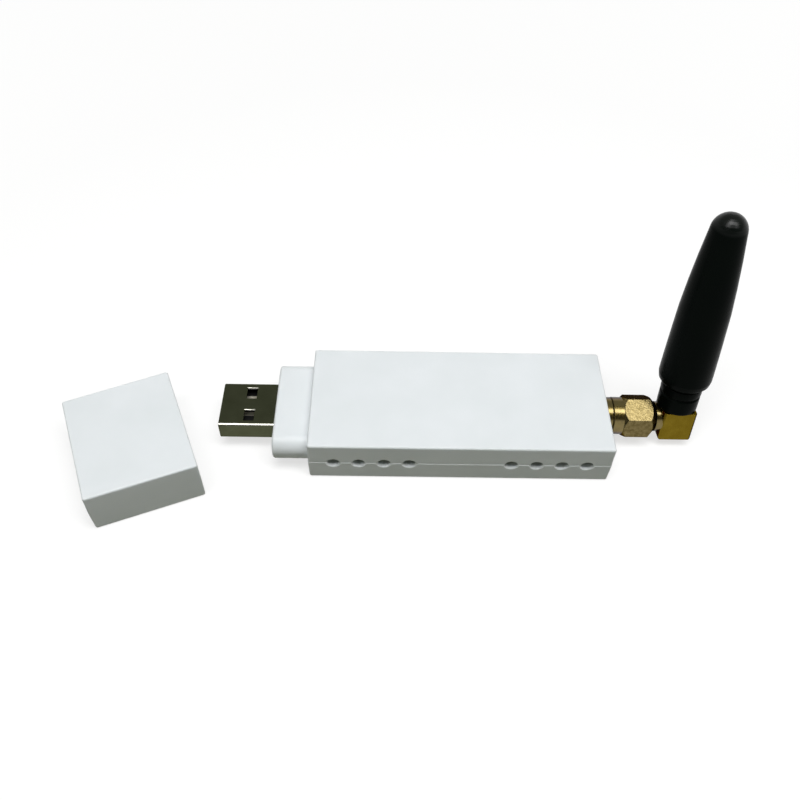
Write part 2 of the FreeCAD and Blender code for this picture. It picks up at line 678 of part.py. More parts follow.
def make_regulator():
    """Three legs on one side of the package and a cooling tab on the other."""
    y = -BOARD_HALF_WIDTH + REGULATOR_FROM_EDGE + REGULATOR_LENGTH / 2
    reach = (REGULATOR_WIDTH + REGULATOR_LEAD_REACH) / 2
    package = block(REGULATOR_WIDTH, REGULATOR_LENGTH, REGULATOR_HEIGHT, REGULATOR_X, y, BOARD_TOP)
    leads = [block(REGULATOR_LEAD_REACH, REGULATOR_TAB_WIDTH, REGULATOR_LEAD_THICKNESS,
                   REGULATOR_X + reach, y, BOARD_TOP)]
    for i in (-1, 0, 1):
        leads.append(block(REGULATOR_LEAD_REACH, REGULATOR_LEG_WIDTH, REGULATOR_LEAD_THICKNESS,
                           REGULATOR_X - reach, y + i * REGULATOR_LEG_PITCH, BOARD_TOP))
    return package.fuse(leads).removeSplitter()


def make_inductor():
    y = BOARD_HALF_WIDTH - INDUCTOR_FROM_EDGE - INDUCTOR_SIDE / 2
    body = block(INDUCTOR_SIDE, INDUCTOR_SIDE, INDUCTOR_HEIGHT, INDUCTOR_X, y, BOARD_TOP)
    return body.makeChamfer(INDUCTOR_CHAMFER, edges_along(body, Vector(0, 0, 1), INDUCTOR_HEIGHT))


def make_crystal():
    y = BOARD_HALF_WIDTH - CRYSTAL_FROM_EDGE - CRYSTAL_WIDTH / 2
    return block(CRYSTAL_LENGTH, CRYSTAL_WIDTH, CRYSTAL_HEIGHT, CRYSTAL_X, y, BOARD_TOP)


def make_capacitors():
    parts = []
    for i in range(CAPACITOR_COUNT):
        y = (i - (CAPACITOR_COUNT - 1) / 2) * CAPACITOR_PITCH
        parts.append(block(CAPACITOR_LENGTH, CAPACITOR_WIDTH, CAPACITOR_HEIGHT,
                           CAPACITOR_COLUMN_X, y, BOARD_TOP))
    return Part.makeCompound(parts)


def make_status_lights():
    """Two small lights at the board's edge, each behind a vent hole."""
    y = -BOARD_HALF_WIDTH + LED_FROM_EDGE + LED_WIDTH / 2
    last_vent = -HALF_LENGTH + VENT_MARGIN + VENT_PITCH * (VENT_COUNT - 1)
    lights = []
    for x in (last_vent - VENT_PITCH, last_vent):
        base = block(LED_LENGTH, LED_WIDTH, LED_BASE_HEIGHT, x, y, BOARD_TOP)
        lens = block(LED_LENS_LENGTH, LED_WIDTH, LED_LENS_HEIGHT, x, y, BOARD_TOP + LED_BASE_HEIGHT)
        lights.append(base.fuse(lens))
    return Part.makeCompound(lights)


def make_jack_body():
    """Turned and milled brass: square base with four legs that grip the board, flange and barrel."""
    half = JACK_BASE_SIDE / 2
    base = box(BASE_X, CAVITY_X, -half, half, AXIS_Z - half, AXIS_Z + half)
    barrel = rod_x(JACK_BODY_RADIUS, CAVITY_X, MOUTH_X)
    flange = rod_x(JACK_FLANGE_RADIUS, SEAT_X, FLANGE_END_X)
    legs = []
    for side in (-1, 1):
        y0, y1 = sorted((side * half, side * (half - JACK_LEG_WIDTH)))
        legs.append(box(BASE_X - JACK_LEG_LENGTH, BASE_X, y0, y1, BOARD_TOP, AXIS_Z + JACK_LEG_RISE))
        legs.append(box(BASE_X - JACK_LEG_LENGTH, BASE_X, y0, y1, AXIS_Z - half, BOARD_BOTTOM))
    whole = base.fuse([barrel, flange] + legs).removeSplitter()
    whole = whole.makeChamfer(JACK_MOUTH_CHAMFER, edges_at(whole, x=MOUTH_X))
    line = rod_x(LINE_BORE_RADIUS, BASE_X - PAST, MOUTH_X + PAST)
    counterbore = rod_x(JACK_COUNTERBORE_RADIUS, LINE_END_X, MOUTH_X + PAST)
    return whole.cut([line, counterbore])


def make_jack_insulator():
    hole = rod_x(CENTRE_CONTACT_RADIUS + LINE_FIT, BASE_X - PAST, LINE_END_X + PAST)
    return rod_x(LINE_INSULATOR_RADIUS, BASE_X, LINE_END_X).cut(hole)


def make_jack_contact():
    """Centre contact: a tail on the board and a slit socket for the plug's pin."""
    socket_x = LINE_END_X - CENTRE_SOCKET_DEPTH
    half_slit = CENTRE_SLIT / 2
    tail = rod_x(BOARD_TOP_BELOW_AXIS - LINE_FIT, BASE_X - JACK_TAIL_LENGTH, BASE_X)
    body = rod_x(CENTRE_CONTACT_RADIUS, BASE_X, LINE_END_X)
    socket = rod_x(CENTRE_SOCKET_RADIUS, socket_x, LINE_END_X + PAST)
    slit = whole_width(socket_x, LINE_END_X + PAST, AXIS_Z - half_slit, AXIS_Z + half_slit)
    return tail.fuse(body).removeSplitter().cut([socket, slit])


def hexagon_bar(across_flats, x0, x1, turn):
    radius = across_flats / math.sqrt(3)
    points = []
    for i in range(6):
        a = math.radians(turn + 30 + 60 * i)
        points.append(Vector(x0, radius * math.cos(a), AXIS_Z + radius * math.sin(a)))
    return polygon_face(points).extrude(Vector(x1 - x0, 0, 0))


def turned_x(profile):
    """A solid of revolution about the plug's axis, from (x, radius) points."""
    face = polygon_face([Vector(x, 0, AXIS_Z + r) for x, r in profile])
    return face.revolve(Vector(0, 0, AXIS_Z), Vector(1, 0, 0), 360)


def make_coupling_nut():
    """Round collar, then a hexagon with turned chamfers; bored for the thread and the ring."""
    corner = NUT_ACROSS_FLATS / math.sqrt(3)
    envelope = turned_x([
        (NUT_X, 0),
        (NUT_X, NUT_COLLAR_RADIUS - NUT_EDGE_BREAK),
        (NUT_X + NUT_EDGE_BREAK, NUT_COLLAR_RADIUS),
        (NUT_HEXAGON_X, NUT_COLLAR_RADIUS),
        (NUT_HEXAGON_X + NUT_FRONT_CHAMFER, corner),
        (NUT_END_X - NUT_REAR_CHAMFER, corner),
        (NUT_END_X, NUT_REAR_RADIUS),
        (NUT_END_X, 0),
    ])
    hexagon = hexagon_bar(NUT_ACROSS_FLATS, NUT_HEXAGON_X, NUT_END_X, NUT_TURN_DEG)
    outline = rod_x(NUT_COLLAR_RADIUS, NUT_X, NUT_HEXAGON_X).fuse(hexagon).removeSplitter()
    barrel_bore = PLUG_BARREL_RADIUS + PLUG_RUNNING_CLEARANCE
    bore = turned_x([
        (NUT_X - PAST, 0),
        (NUT_X - PAST, NUT_BORE_RADIUS + NUT_MOUTH_CHAMFER),
        (NUT_X, NUT_BORE_RADIUS + NUT_MOUTH_CHAMFER),
        (NUT_X + NUT_MOUTH_CHAMFER, NUT_BORE_RADIUS),
        (NUT_BACK_X, NUT_BORE_RADIUS),
        (NUT_BACK_X, barrel_bore),
        (NUT_END_X + PAST, barrel_bore),
        (NUT_END_X + PAST, 0),
    ])
    groove = rod_x(RING_OUTER_RADIUS + RING_GROOVE_PLAY, RING_X - RING_GROOVE_PLAY,
                   RING_END_X + RING_GROOVE_PLAY)
    return envelope.common(outline).cut([bore, groove])


def make_retaining_ring():
    """C-shaped spring ring that holds the nut on the plug."""
    ring = rod_x(RING_OUTER_RADIUS, RING_X, RING_END_X)
    ring = ring.cut(rod_x(RING_INNER_RADIUS, RING_X - PAST, RING_END_X + PAST))
    reach = 2 * RING_OUTER_RADIUS
    half = math.tan(math.radians(RING_OPENING_DEG / 2)) * reach
    opening = polygon_face([
        Vector(RING_X, 0, AXIS_Z),
        Vector(RING_X, -half, AXIS_Z - reach),
        Vector(RING_X, half, AXIS_Z - reach),
    ])
    return ring.cut(opening.extrude(Vector(RING_WIDTH, 0, 0)))


def make_gasket():
    ring = rod_x(GASKET_OUTER_RADIUS, GASKET_X, PLUG_FLANGE_X)
    return ring.cut(rod_x(PLUG_SLEEVE_RADIUS + GASKET_CLEARANCE, GASKET_X - PAST, PLUG_FLANGE_X + PAST))


def lean(shape):
    """Turn an upright shape about the plug's axis to the antenna's lean."""
    shape.rotate(ANTENNA_AXIS, Vector(1, 0, 0), -ANTENNA_LEAN_DEG)
    return shape


def upright_rod(radius, h0, h1):
    """A round bar on the antenna's axis, between heights above the plug's axis."""
    return rod_z(radius, ANTENNA_X, 0, AXIS_Z + h0, AXIS_Z + h1)


def turned_up(profile):
    """A solid of revolution about the antenna's axis, from (height, radius) points."""
    face = polygon_face([ANTENNA_AXIS + Vector(r, 0, h) for h, r in profile])
    return face.revolve(ANTENNA_AXIS, Vector(0, 0, 1), 360)


def boss_profile():
    """Barbed boss that the rubber grips."""
    start = ELBOW_HEIGHT / 2
    step = BOSS_LENGTH / BOSS_BARB_COUNT
    profile = [(start, 0)]
    for i in range(BOSS_BARB_COUNT):
        profile.append((start + i * step, BOSS_RADIUS))
        profile.append((start + (i + 1) * step, BOSS_RADIUS - BOSS_BARB_DEPTH))
    profile.append((BOSS_TOP, 0))
    return profile


def plug_stem():
    """Turned front of the plug: sleeve, flange, barrel with the ring's groove, and neck."""
    flange = NUT_BORE_RADIUS - PLUG_FLANGE_CLEARANCE
    groove = RING_INNER_RADIUS - RING_SEAT_PLAY
    return turned_x([
        (SLEEVE_X, 0),
        (SLEEVE_X, PLUG_SLEEVE_RADIUS),
        (PLUG_FLANGE_X, PLUG_SLEEVE_RADIUS),
        (PLUG_FLANGE_X, flange),
        (PLUG_FLANGE_END_X, flange),
        (PLUG_FLANGE_END_X, PLUG_BARREL_RADIUS),
        (RING_X - RING_SEAT_PLAY, PLUG_BARREL_RADIUS),
        (RING_X - RING_SEAT_PLAY, groove),
        (RING_END_X + RING_SEAT_PLAY, groove),
        (RING_END_X + RING_SEAT_PLAY, PLUG_BARREL_RADIUS),
        (NECK_X, PLUG_BARREL_RADIUS),
        (NECK_X, PLUG_NECK_RADIUS),
        (ELBOW_X + ELBOW_CHAMFER, PLUG_NECK_RADIUS),
        (ELBOW_X + ELBOW_CHAMFER, 0),
    ])


def make_elbow_body():
    """Square elbow with a turned neck and sleeve towards the jack and a barbed boss on top."""
    middle_x = (ELBOW_X + ELBOW_END_X) / 2
    elbow = block(ELBOW_SIDE, ELBOW_SIDE, ELBOW_HEIGHT, middle_x, 0, AXIS_Z - ELBOW_HEIGHT / 2)
    elbow = elbow.makeChamfer(ELBOW_CHAMFER, elbow.Edges).fuse(turned_up(boss_profile()))
    vertical = upright_rod(BOSS_BORE_RADIUS, 0, BOSS_TOP + PAST)
    cover_x = ELBOW_END_X - ELBOW_COVER_THICKNESS
    line = rod_x(LINE_BORE_RADIUS, SLEEVE_X - PAST, ANTENNA_X + BOSS_BORE_RADIUS)
    passage = rod_x(ELBOW_PORT_RADIUS - ELBOW_PORT_LEDGE, ANTENNA_X, ELBOW_END_X)
    port = rod_x(ELBOW_PORT_RADIUS, cover_x, ELBOW_END_X + PAST)
    whole = lean(elbow).fuse(plug_stem()).removeSplitter()
    return whole.cut([lean(vertical), line, passage, port])


def make_elbow_cover():
    """Pressed disc that closes the port through which the joint inside was soldered."""
    disc = rod_x(ELBOW_PORT_RADIUS - ELBOW_COVER_FIT, ELBOW_END_X - ELBOW_COVER_THICKNESS, ELBOW_END_X)
    return disc.makeChamfer(ELBOW_COVER_CHAMFER, edges_at(disc, x=ELBOW_END_X))


def make_plug_insulator():
    x1 = ELBOW_X + ELBOW_INSULATOR_REACH
    hole = rod_x(FEED_RADIUS + LINE_FIT, SLEEVE_X - PAST, x1 + PAST)
    return rod_x(LINE_INSULATOR_RADIUS, SLEEVE_X, x1).cut(hole)


def make_plug_contact():
    """Centre pin, with the flat end to which the antenna's feed is soldered."""
    pin_x = SLEEVE_X - PIN_CONTACT_REACH
    end_x = ANTENNA_X + FEED_RADIUS
    return turned_x([
        (pin_x, 0),
        (pin_x, PIN_TIP_RADIUS),
        (pin_x + PIN_TIP_LENGTH, PIN_CONTACT_RADIUS),
        (SLEEVE_X, PIN_CONTACT_RADIUS),
        (SLEEVE_X, FEED_RADIUS),
        (end_x, FEED_RADIUS),
        (end_x, 0),
    ])


def make_feed_pin():
    """Rod from the centre pin up to the coil, with the collar that the coil stands on."""
    collar = CORE_START - FEED_COLLAR_THICKNESS
    rod = upright_rod(FEED_RADIUS, FEED_RADIUS + FEED_GAP, CORE_START + FEED_REACH)
    ring = upright_rod(COIL_MEAN_RADIUS + COIL_WIRE / 2, collar, CORE_START)
    return lean(rod.fuse(ring).removeSplitter())


def make_feed_insulator():
    start = LINE_INSULATOR_RADIUS + FEED_GAP
    tube = upright_rod(BOSS_BORE_RADIUS - LINE_FIT, start, BOSS_TOP)
    return lean(tube.cut(upright_rod(FEED_RADIUS + LINE_FIT, start - PAST, BOSS_TOP + PAST)))


def make_antenna_core():
    """Moulded former that keeps the coil's turns round and apart."""
    core = upright_rod(COIL_MEAN_RADIUS - COIL_WIRE / 2 - CORE_CLEARANCE, CORE_START, CORE_END)
    socket = upright_rod(FEED_RADIUS + LINE_FIT, CORE_START - PAST, CORE_START + FEED_REACH + FEED_GAP)
    return lean(core.cut(socket))


def make_antenna_coil():
    """Radiating coil of square plated wire."""
    half = COIL_WIRE / 2
    path = Part.makeHelix(COIL_PITCH, COIL_PITCH * COIL_TURNS, COIL_MEAN_RADIUS)
    path.translate(ANTENNA_AXIS + Vector(0, 0, CORE_START + COIL_CLEARANCE + half))
    first = path.Vertexes[0].Point
    section = []
    for across, up in ((-half, -half), (half, -half), (half, half), (-half, half)):
        section.append(first + Vector(across, 0, up))
    wire = Part.makePolygon(section + section[:1])
    return lean(Part.Wire(path.Edges).makePipeShell([wire], True, True))


def make_antenna_boot():
    """Moulded rubber sleeve: a wide base and a bellows ring at the foot, then a slender tapering body."""
    foot = ELBOW_HEIGHT / 2 + BOOT_SOCKET_CLEARANCE
    tip_centre = BOOT_LENGTH - BOOT_TIP_RADIUS

    def at(radius, height):
        return ANTENNA_AXIS + Vector(radius, 0, foot + height)

    def on_tip(degrees):
        a = math.radians(degrees)
        return at(BOOT_TIP_RADIUS * math.cos(a), tip_centre + BOOT_TIP_RADIUS * math.sin(a))

    outline = [
        at(0, BOOT_LENGTH),
        at(0, 0),
        at(BOOT_BASE_RADIUS - BOOT_EDGE, 0),
        at(BOOT_BASE_RADIUS, BOOT_LIP_HEIGHT),
        at(BOOT_BASE_RADIUS, BOOT_BASE_HEIGHT),
        at(BOOT_GROOVE_RADIUS, BOOT_BASE_HEIGHT + BOOT_EDGE),
        at(BOOT_RING_RADIUS, BOOT_RING_START),
        at(BOOT_RING_RADIUS, BOOT_RING_END),
        at(BOOT_GROOVE_RADIUS, BOOT_RING_END + BOOT_EDGE),
        at(BOOT_GROOVE_RADIUS, BOOT_BODY_START),
        at(BOOT_BODY_RADIUS - BOOT_BODY_FLARE, BOOT_BODY_START),
        at(BOOT_SHOULDER_RADIUS, BOOT_BODY_START + BOOT_FLARE_HEIGHT),
        at(BOOT_BODY_RADIUS, BOOT_BODY_START + BOOT_SHOULDER_HEIGHT),
        at(BOOT_WAIST_RADIUS, BOOT_WAIST_HEIGHT),
        on_tip(BOOT_TIP_SLOPE_DEG),
    ]
    dome = Part.Arc(outline[-1], on_tip(45), outline[0]).toShape()
    edges = Part.makePolygon(outline).Edges + [dome]
    boot = Part.Face(Part.Wire(edges)).revolve(ANTENNA_AXIS, Vector(0, 0, 1), 360)
    socket = upright_rod(BOSS_RADIUS + BOOT_SOCKET_CLEARANCE, 0, BOSS_TOP + FEED_GAP)
    room = upright_rod(COIL_MEAN_RADIUS + COIL_WIRE / 2 + COIL_CLEARANCE, 0, CORE_END + COIL_CLEARANCE)
    return lean(boot.cut([socket, room]))


def make_cap():
    """One hollow moulding: drafted towards its closed end and from the middle up and down."""
    closed_x = -CAP_LENGTH / 2
    mouth_x = CAP_LENGTH / 2
    half_closed = HALF_WIDTH - CAP_TAPER
    plan = [
        Vector(closed_x, -half_closed, 0),
        Vector(mouth_x, -HALF_WIDTH, 0),
        Vector(mouth_x, HALF_WIDTH, 0),
        Vector(closed_x, half_closed, 0),
    ]
    halves = [drafted_half(plan, z, CAP_EDGE_ROUND) for z in (0.0, HOUSING_HEIGHT)]
    past_mouth = mouth_x + HOUSING_DRAFT + PAST
    trim = whole_width(mouth_x, past_mouth, -PAST, HOUSING_HEIGHT + PAST)
    cap = halves[0].fuse(halves[1]).removeSplitter().cut(trim)
    width = NECK_WIDTH + 2 * CAP_FIT_CLEARANCE
    height = NECK_HEIGHT + 2 * CAP_FIT_CLEARANCE
    room = rounded_bar(width, height, NECK_ROUND + CAP_FIT_CLEARANCE, closed_x + CAP_END_WALL, past_mouth)
    cap = cap.cut(room)
    rim = []
    for edge in edges_at(cap, x=mouth_x):
        centre = edge.CenterOfMass
        if abs(centre.z - AXIS_Z) < height / 2 + JOIN and abs(centre.y) < width / 2 + JOIN:
            rim.append(edge)
    cap = cap.makeChamfer(CAP_MOUTH_CHAMFER, rim)
    cap.rotate(Vector(0, 0, 0), Vector(0, 0, 1), CAP_TURN_DEG)
    cap.translate(Vector(CAP_CENTRE_X, CAP_CENTRE_Y, 0))
    return cap


os.makedirs("parts", exist_ok=True)
save(make_top_cover(), "top_cover")
save(make_bottom_cover(), "bottom_cover")
save(make_cap(), "cap")
save(make_usb_shell(), "usb_shell")
save(make_usb_tongue(), "usb_tongue")
for number, (y, setback) in enumerate(contact_places(), start=1):
    save(contact_strip(y, setback), "usb_contact_%d" % number)
save(make_circuit_board(), "circuit_board")
save(make_module_board(), "radio_module_board")
save(make_module_shield(), "radio_module_shield")
save(make_sim_socket(), "sim_socket")
save(make_sim_card(), "sim_card")
save(make_bridge_chip(), "usb_bridge_chip")
save(make_regulator(), "voltage_regulator")
save(make_inductor(), "power_inductor")
save(make_crystal(), "crystal")
save(make_capacitors(), "capacitors")
save(make_status_lights(), "status_lights")
save(make_jack_body(), "jack_body")
save(make_jack_insulator(), "jack_insulator")
save(make_jack_contact(), "jack_contact")
save(make_coupling_nut(), "coupling_nut")
save(make_retaining_ring(), "retaining_ring")
save(make_gasket(), "sealing_gasket")
save(make_elbow_body(), "elbow_body")
save(make_elbow_cover(), "elbow_cover")
save(make_plug_insulator(), "plug_insulator")
save(make_plug_contact(), "plug_contact")
save(make_feed_pin(), "feed_pin")
save(make_feed_insulator(), "feed_insulator")
save(make_antenna_core(), "antenna_core")
save(make_antenna_coil(), "antenna_coil")
save(make_antenna_boot(), "antenna_boot")
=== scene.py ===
import math

import bmesh
import bpy
from mathutils import Matrix, Vector


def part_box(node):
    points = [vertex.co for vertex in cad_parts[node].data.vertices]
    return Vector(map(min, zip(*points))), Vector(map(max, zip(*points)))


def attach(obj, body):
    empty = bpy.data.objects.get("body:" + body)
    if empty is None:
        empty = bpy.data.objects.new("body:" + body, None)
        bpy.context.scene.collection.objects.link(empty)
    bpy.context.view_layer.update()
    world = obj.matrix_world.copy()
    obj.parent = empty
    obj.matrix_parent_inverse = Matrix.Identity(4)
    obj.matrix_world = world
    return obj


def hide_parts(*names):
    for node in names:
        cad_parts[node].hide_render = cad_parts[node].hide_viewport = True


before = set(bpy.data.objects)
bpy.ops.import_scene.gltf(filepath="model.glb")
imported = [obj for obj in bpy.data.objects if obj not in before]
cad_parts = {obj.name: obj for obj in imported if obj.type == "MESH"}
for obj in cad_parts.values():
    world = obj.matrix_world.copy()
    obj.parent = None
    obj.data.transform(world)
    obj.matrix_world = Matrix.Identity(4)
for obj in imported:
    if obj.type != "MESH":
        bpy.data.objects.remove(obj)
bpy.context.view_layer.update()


# Lower half of the housing
# The half that everything else is laid into: white ABS, moulded in one shot with the floor of the
# neck, the board's posts and the lower half of every vent. The mould's faces leave a fine satin grain.
MM = 0.001


def shade(red, green, blue):
    """A surface colour, linear, from the way it looks on a screen (0 to 255)."""
    shares = [level / 255 for level in (red, green, blue)]
    linear = [share / 12.92 if share < 0.0404 else ((share + 0.055) / 1.055) ** 2.4 for share in shares]
    return (*linear, 1.0)


def put(tree, kind, feeds=None, **settings):
    """Adds a node to a tree. A feed is a value for an input, or the output that is linked to it."""
    made = tree.nodes.new(kind)
    for key, value in settings.items():
        setattr(made, key, value)
    for key, value in (feeds or {}).items():
        if isinstance(value, bpy.types.NodeSocket):
            tree.links.new(value, made.inputs[key])
        else:
            made.inputs[key].default_value = value
    return made


def new_finish(name):
    """An empty finish: its material, tree and shader, and the place on the object in millimetres."""
    material = bpy.data.materials.new(name)
    material.use_nodes = True
    tree = material.node_tree
    tree.nodes.clear()
    shader = put(tree, "ShaderNodeBsdfPrincipled")
    put(tree, "ShaderNodeOutputMaterial", {"Surface": shader.outputs[0]})
    in_metres = put(tree, "ShaderNodeTexCoord").outputs["Object"]
    place = put(tree, "ShaderNodeVectorMath", {0: in_metres, "Scale": 1 / MM}, operation="SCALE").outputs[0]
    return material, tree, shader, place


def noise(tree, place, per_mm, detail=2.0, stretch=None):
    """Cloudy variation from 0 to 1, with about per_mm lumps in a millimetre."""
    if stretch:
        place = put(tree, "ShaderNodeVectorMath", {0: place, 1: stretch}, operation="MULTIPLY").outputs[0]
    return put(tree, "ShaderNodeTexNoise", {"Vector": place, "Scale": per_mm, "Detail": detail}).outputs[0]


def spread(tree, value, low, high, start=0.3, end=0.7):
    """Stretches a variation between start and end over the range from low to high."""
    feeds = {"Value": value, "From Min": start, "From Max": end, "To Min": low, "To Max": high}
    return put(tree, "ShaderNodeMapRange", feeds).outputs[0]


def mix(tree, share, first, second):
    """Blends two colours, from all of the first at 0 to all of the second at 1."""
    return put(tree, "ShaderNodeMix", {0: share, 6: first, 7: second}, data_type="RGBA").outputs[2]


def relief(tree, height, depth_mm, strength=1.0, under=None):
    """Turns a variation into a relief that is depth_mm deep."""
    feeds = {"Height": height, "Distance": depth_mm * MM, "Strength": strength}
    if under:
        feeds["Normal"] = under
    return put(tree, "ShaderNodeBump", feeds).outputs[0]


def moulded(name, light, dark, roughness, grain_per_mm, grain_mm, gloss=0.5, milky_mm=0.0):
    """Plastic or rubber as it leaves a spark-eroded mould: a fine grain, and slow drifts of tone.

    Light goes milky_mm deep into a white plastic before it comes out again.
    """
    material, tree, shader, place = new_finish(name)
    drift = noise(tree, place, per_mm=0.09, detail=3.0)
    flow = noise(tree, place, per_mm=0.7, stretch=(0.35, 1.0, 1.0))
    grain = noise(tree, place, grain_per_mm, detail=3.0)
    tone = mix(tree, spread(tree, drift, low=0.0, high=0.75), light, dark)
    tone = mix(tree, spread(tree, grain, low=0.0, high=0.25), tone, dark)
    tree.links.new(tone, shader.inputs["Base Color"])
    tree.links.new(spread(tree, flow, roughness - 0.05, roughness + 0.06), shader.inputs["Roughness"])
    tree.links.new(relief(tree, grain, grain_mm), shader.inputs["Normal"])
    shader.inputs["Specular IOR Level"].default_value = gloss
    if milky_mm:
        shader.inputs["Subsurface Weight"].default_value = 0.6
        shader.inputs["Subsurface Radius"].default_value = (1.0, 1.0, 1.0)
        shader.inputs["Subsurface Scale"].default_value = milky_mm * MM
    return material


SAME_POINT = 0.0005 * MM
SHARP_FOLD = math.radians(28.0)


def smoothed_copy(cad_name, name):
    """A copy of a CAD node, its triangles joined, smooth on the rounds and sharp on the edges."""
    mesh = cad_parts[cad_name].data.copy()
    mesh.name = name
    mesh.materials.clear()
    joined = bmesh.new()
    joined.from_mesh(mesh)
    bmesh.ops.remove_doubles(joined, verts=joined.verts, dist=SAME_POINT)
    joined.to_mesh(mesh)
    joined.free()
    if "custom_normal" in mesh.attributes:
        mesh.attributes.remove(mesh.attributes["custom_normal"])
    mesh.shade_smooth()
    mesh.set_sharp_from_angle(angle=SHARP_FOLD)
    piece = bpy.data.objects.new(name, mesh)
    bpy.context.scene.collection.objects.link(piece)
    weights = piece.modifiers.new("face weights", "WEIGHTED_NORMAL")
    weights.keep_sharp = True
    return piece


def fit(piece, body, slot, *stands_for):
    """Seats a finished piece on its body, in place of the CAD nodes that it stands for."""
    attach(piece, body)
    if stands_for:
        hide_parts(*stands_for)


white_satin = moulded("white_satin_abs", shade(231, 235, 238), shade(224, 229, 231), roughness=0.42,
                      grain_per_mm=9.0, grain_mm=0.004, gloss=0.35, milky_mm=0.7)
lower_half = smoothed_copy("bottom_cover", "lower_half")
lower_half.data.materials.append(white_satin)
fit(lower_half, "housing", "white_shell", "bottom_cover")


# Circuit board
# Glass-fibre laminate under green solder mask, drilled and routed, dropped over the four posts.
# Copper tracks and pours lift the mask a little, and the sawn edge shows the bare laminate.
MASK_DEPTH_MM = 0.03
BANDS_IN_CELL = 5.0


def math_node(tree, operation, first, second):
    return put(tree, "ShaderNodeMath", {0: first, 1: second}, operation=operation).outputs[0]


def laminate(name, mask, mask_on_copper, core, lowest_mm, highest_mm):
    """Masked board: copper under the mask on both faces, bare glass fibre on the sawn edge."""
    material, tree, shader, place = new_finish(name)
    cells = put(tree, "ShaderNodeTexVoronoi", {"Vector": place, "Scale": 0.42, "Randomness": 0.85},
                distance="CHEBYCHEV", feature="F1").outputs["Distance"]
    bands = math_node(tree, "MULTIPLY", cells, BANDS_IN_CELL)
    saw = math_node(tree, "PINGPONG", bands, 1.0)
    tracks = spread(tree, saw, low=0.0, high=1.0, start=0.42, end=0.5)
    weave = put(tree, "ShaderNodeTexChecker", {"Vector": place, "Scale": 1.8}).outputs["Fac"]
    masked = mix(tree, tracks, mask, mask_on_copper)
    clouds = noise(tree, place, per_mm=0.5)
    masked = mix(tree, spread(tree, clouds, low=0.0, high=0.25), masked, mask)
    strands = noise(tree, place, per_mm=4.0, stretch=(1.0, 1.0, 4.0))
    fibre = mix(tree, spread(tree, strands, low=0.0, high=0.7), core, mask)
    height = put(tree, "ShaderNodeSeparateXYZ", {0: place}).outputs["Z"]
    above = math_node(tree, "GREATER_THAN", height, lowest_mm + MASK_DEPTH_MM)
    below = math_node(tree, "LESS_THAN", height, highest_mm - MASK_DEPTH_MM)
    edge = math_node(tree, "MULTIPLY", above, below)
    tree.links.new(mix(tree, edge, masked, fibre), shader.inputs["Base Color"])
    tree.links.new(spread(tree, edge, low=0.28, high=0.75, start=0.0, end=1.0), shader.inputs["Roughness"])
    woven = relief(tree, weave, depth_mm=0.004, strength=0.4)
    tree.links.new(relief(tree, tracks, depth_mm=0.03, under=woven), shader.inputs["Normal"])
    return material


def dress(finish, body_slot, *cad_names):
    """Gives CAD nodes whose shape is right a finish of their own."""
    for cad_name in cad_names:
        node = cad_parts[cad_name]
        node.data.materials.clear()
        node.data.materials.append(finish)


board_low, board_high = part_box("circuit_board")
green_mask = laminate("green_masked_laminate", shade(18, 74, 45), shade(44, 116, 68), shade(168, 160, 112),
                      board_low.z / MM, board_high.z / MM)
dress(green_mask, "board_laminate", "circuit_board")


# Chip that bridges the USB port and the radio
# A flat no-lead package: black filled epoxy over a plated frame whose lands show along its edges.
# It is placed by machine and held by the solder under its lands.
chip_resin = moulded("filled_epoxy", shade(38, 38, 40), shade(28, 28, 30), roughness=0.55,
                     grain_per_mm=14.0, grain_mm=0.006)
dress(chip_resin, "chip_resin", "usb_bridge_chip")


def new_recipe(name, **inputs):
    """A Geometry Nodes tree whose named inputs are the sizes of what it makes."""
    tree = bpy.data.node_groups.new(name, "GeometryNodeTree")
    tree.interface.new_socket("Geometry", in_out="OUTPUT", socket_type="NodeSocketGeometry")
    for label, kind in inputs.items():
        tree.interface.new_socket(label, in_out="INPUT", socket_type="NodeSocket" + kind)
    return tree, put(tree, "NodeGroupInput").outputs


def end_recipe(tree, geometry, finish):
    """Ends a recipe: real geometry in place of instances, and one finish on all of it."""
    real = put(tree, "GeometryNodeRealizeInstances", {"Geometry": geometry}).outputs[0]
    dressed = put(tree, "GeometryNodeSetMaterial", {"Geometry": real, "Material": finish}).outputs[0]
    put(tree, "NodeGroupOutput", {"Geometry": dressed})


def make_from_recipe(tree, name, sizes, start_mesh=None):
    """Runs a recipe and keeps what it makes as a plain mesh."""
    piece = bpy.data.objects.new(name, start_mesh or bpy.data.meshes.new(name))
    bpy.context.scene.collection.objects.link(piece)
    modifier = piece.modifiers.new(name, "NODES")
    modifier.node_group = tree
    for socket in tree.interface.items_tree:
        if socket.in_out == "INPUT" and socket.name in sizes:
            modifier[socket.identifier] = sizes[socket.name]
    graph = bpy.context.evaluated_depsgraph_get()
    mesh = bpy.data.meshes.new_from_object(piece.evaluated_get(graph))
    piece.modifiers.remove(modifier)
    piece.data = mesh
    mesh.name = name
    return piece


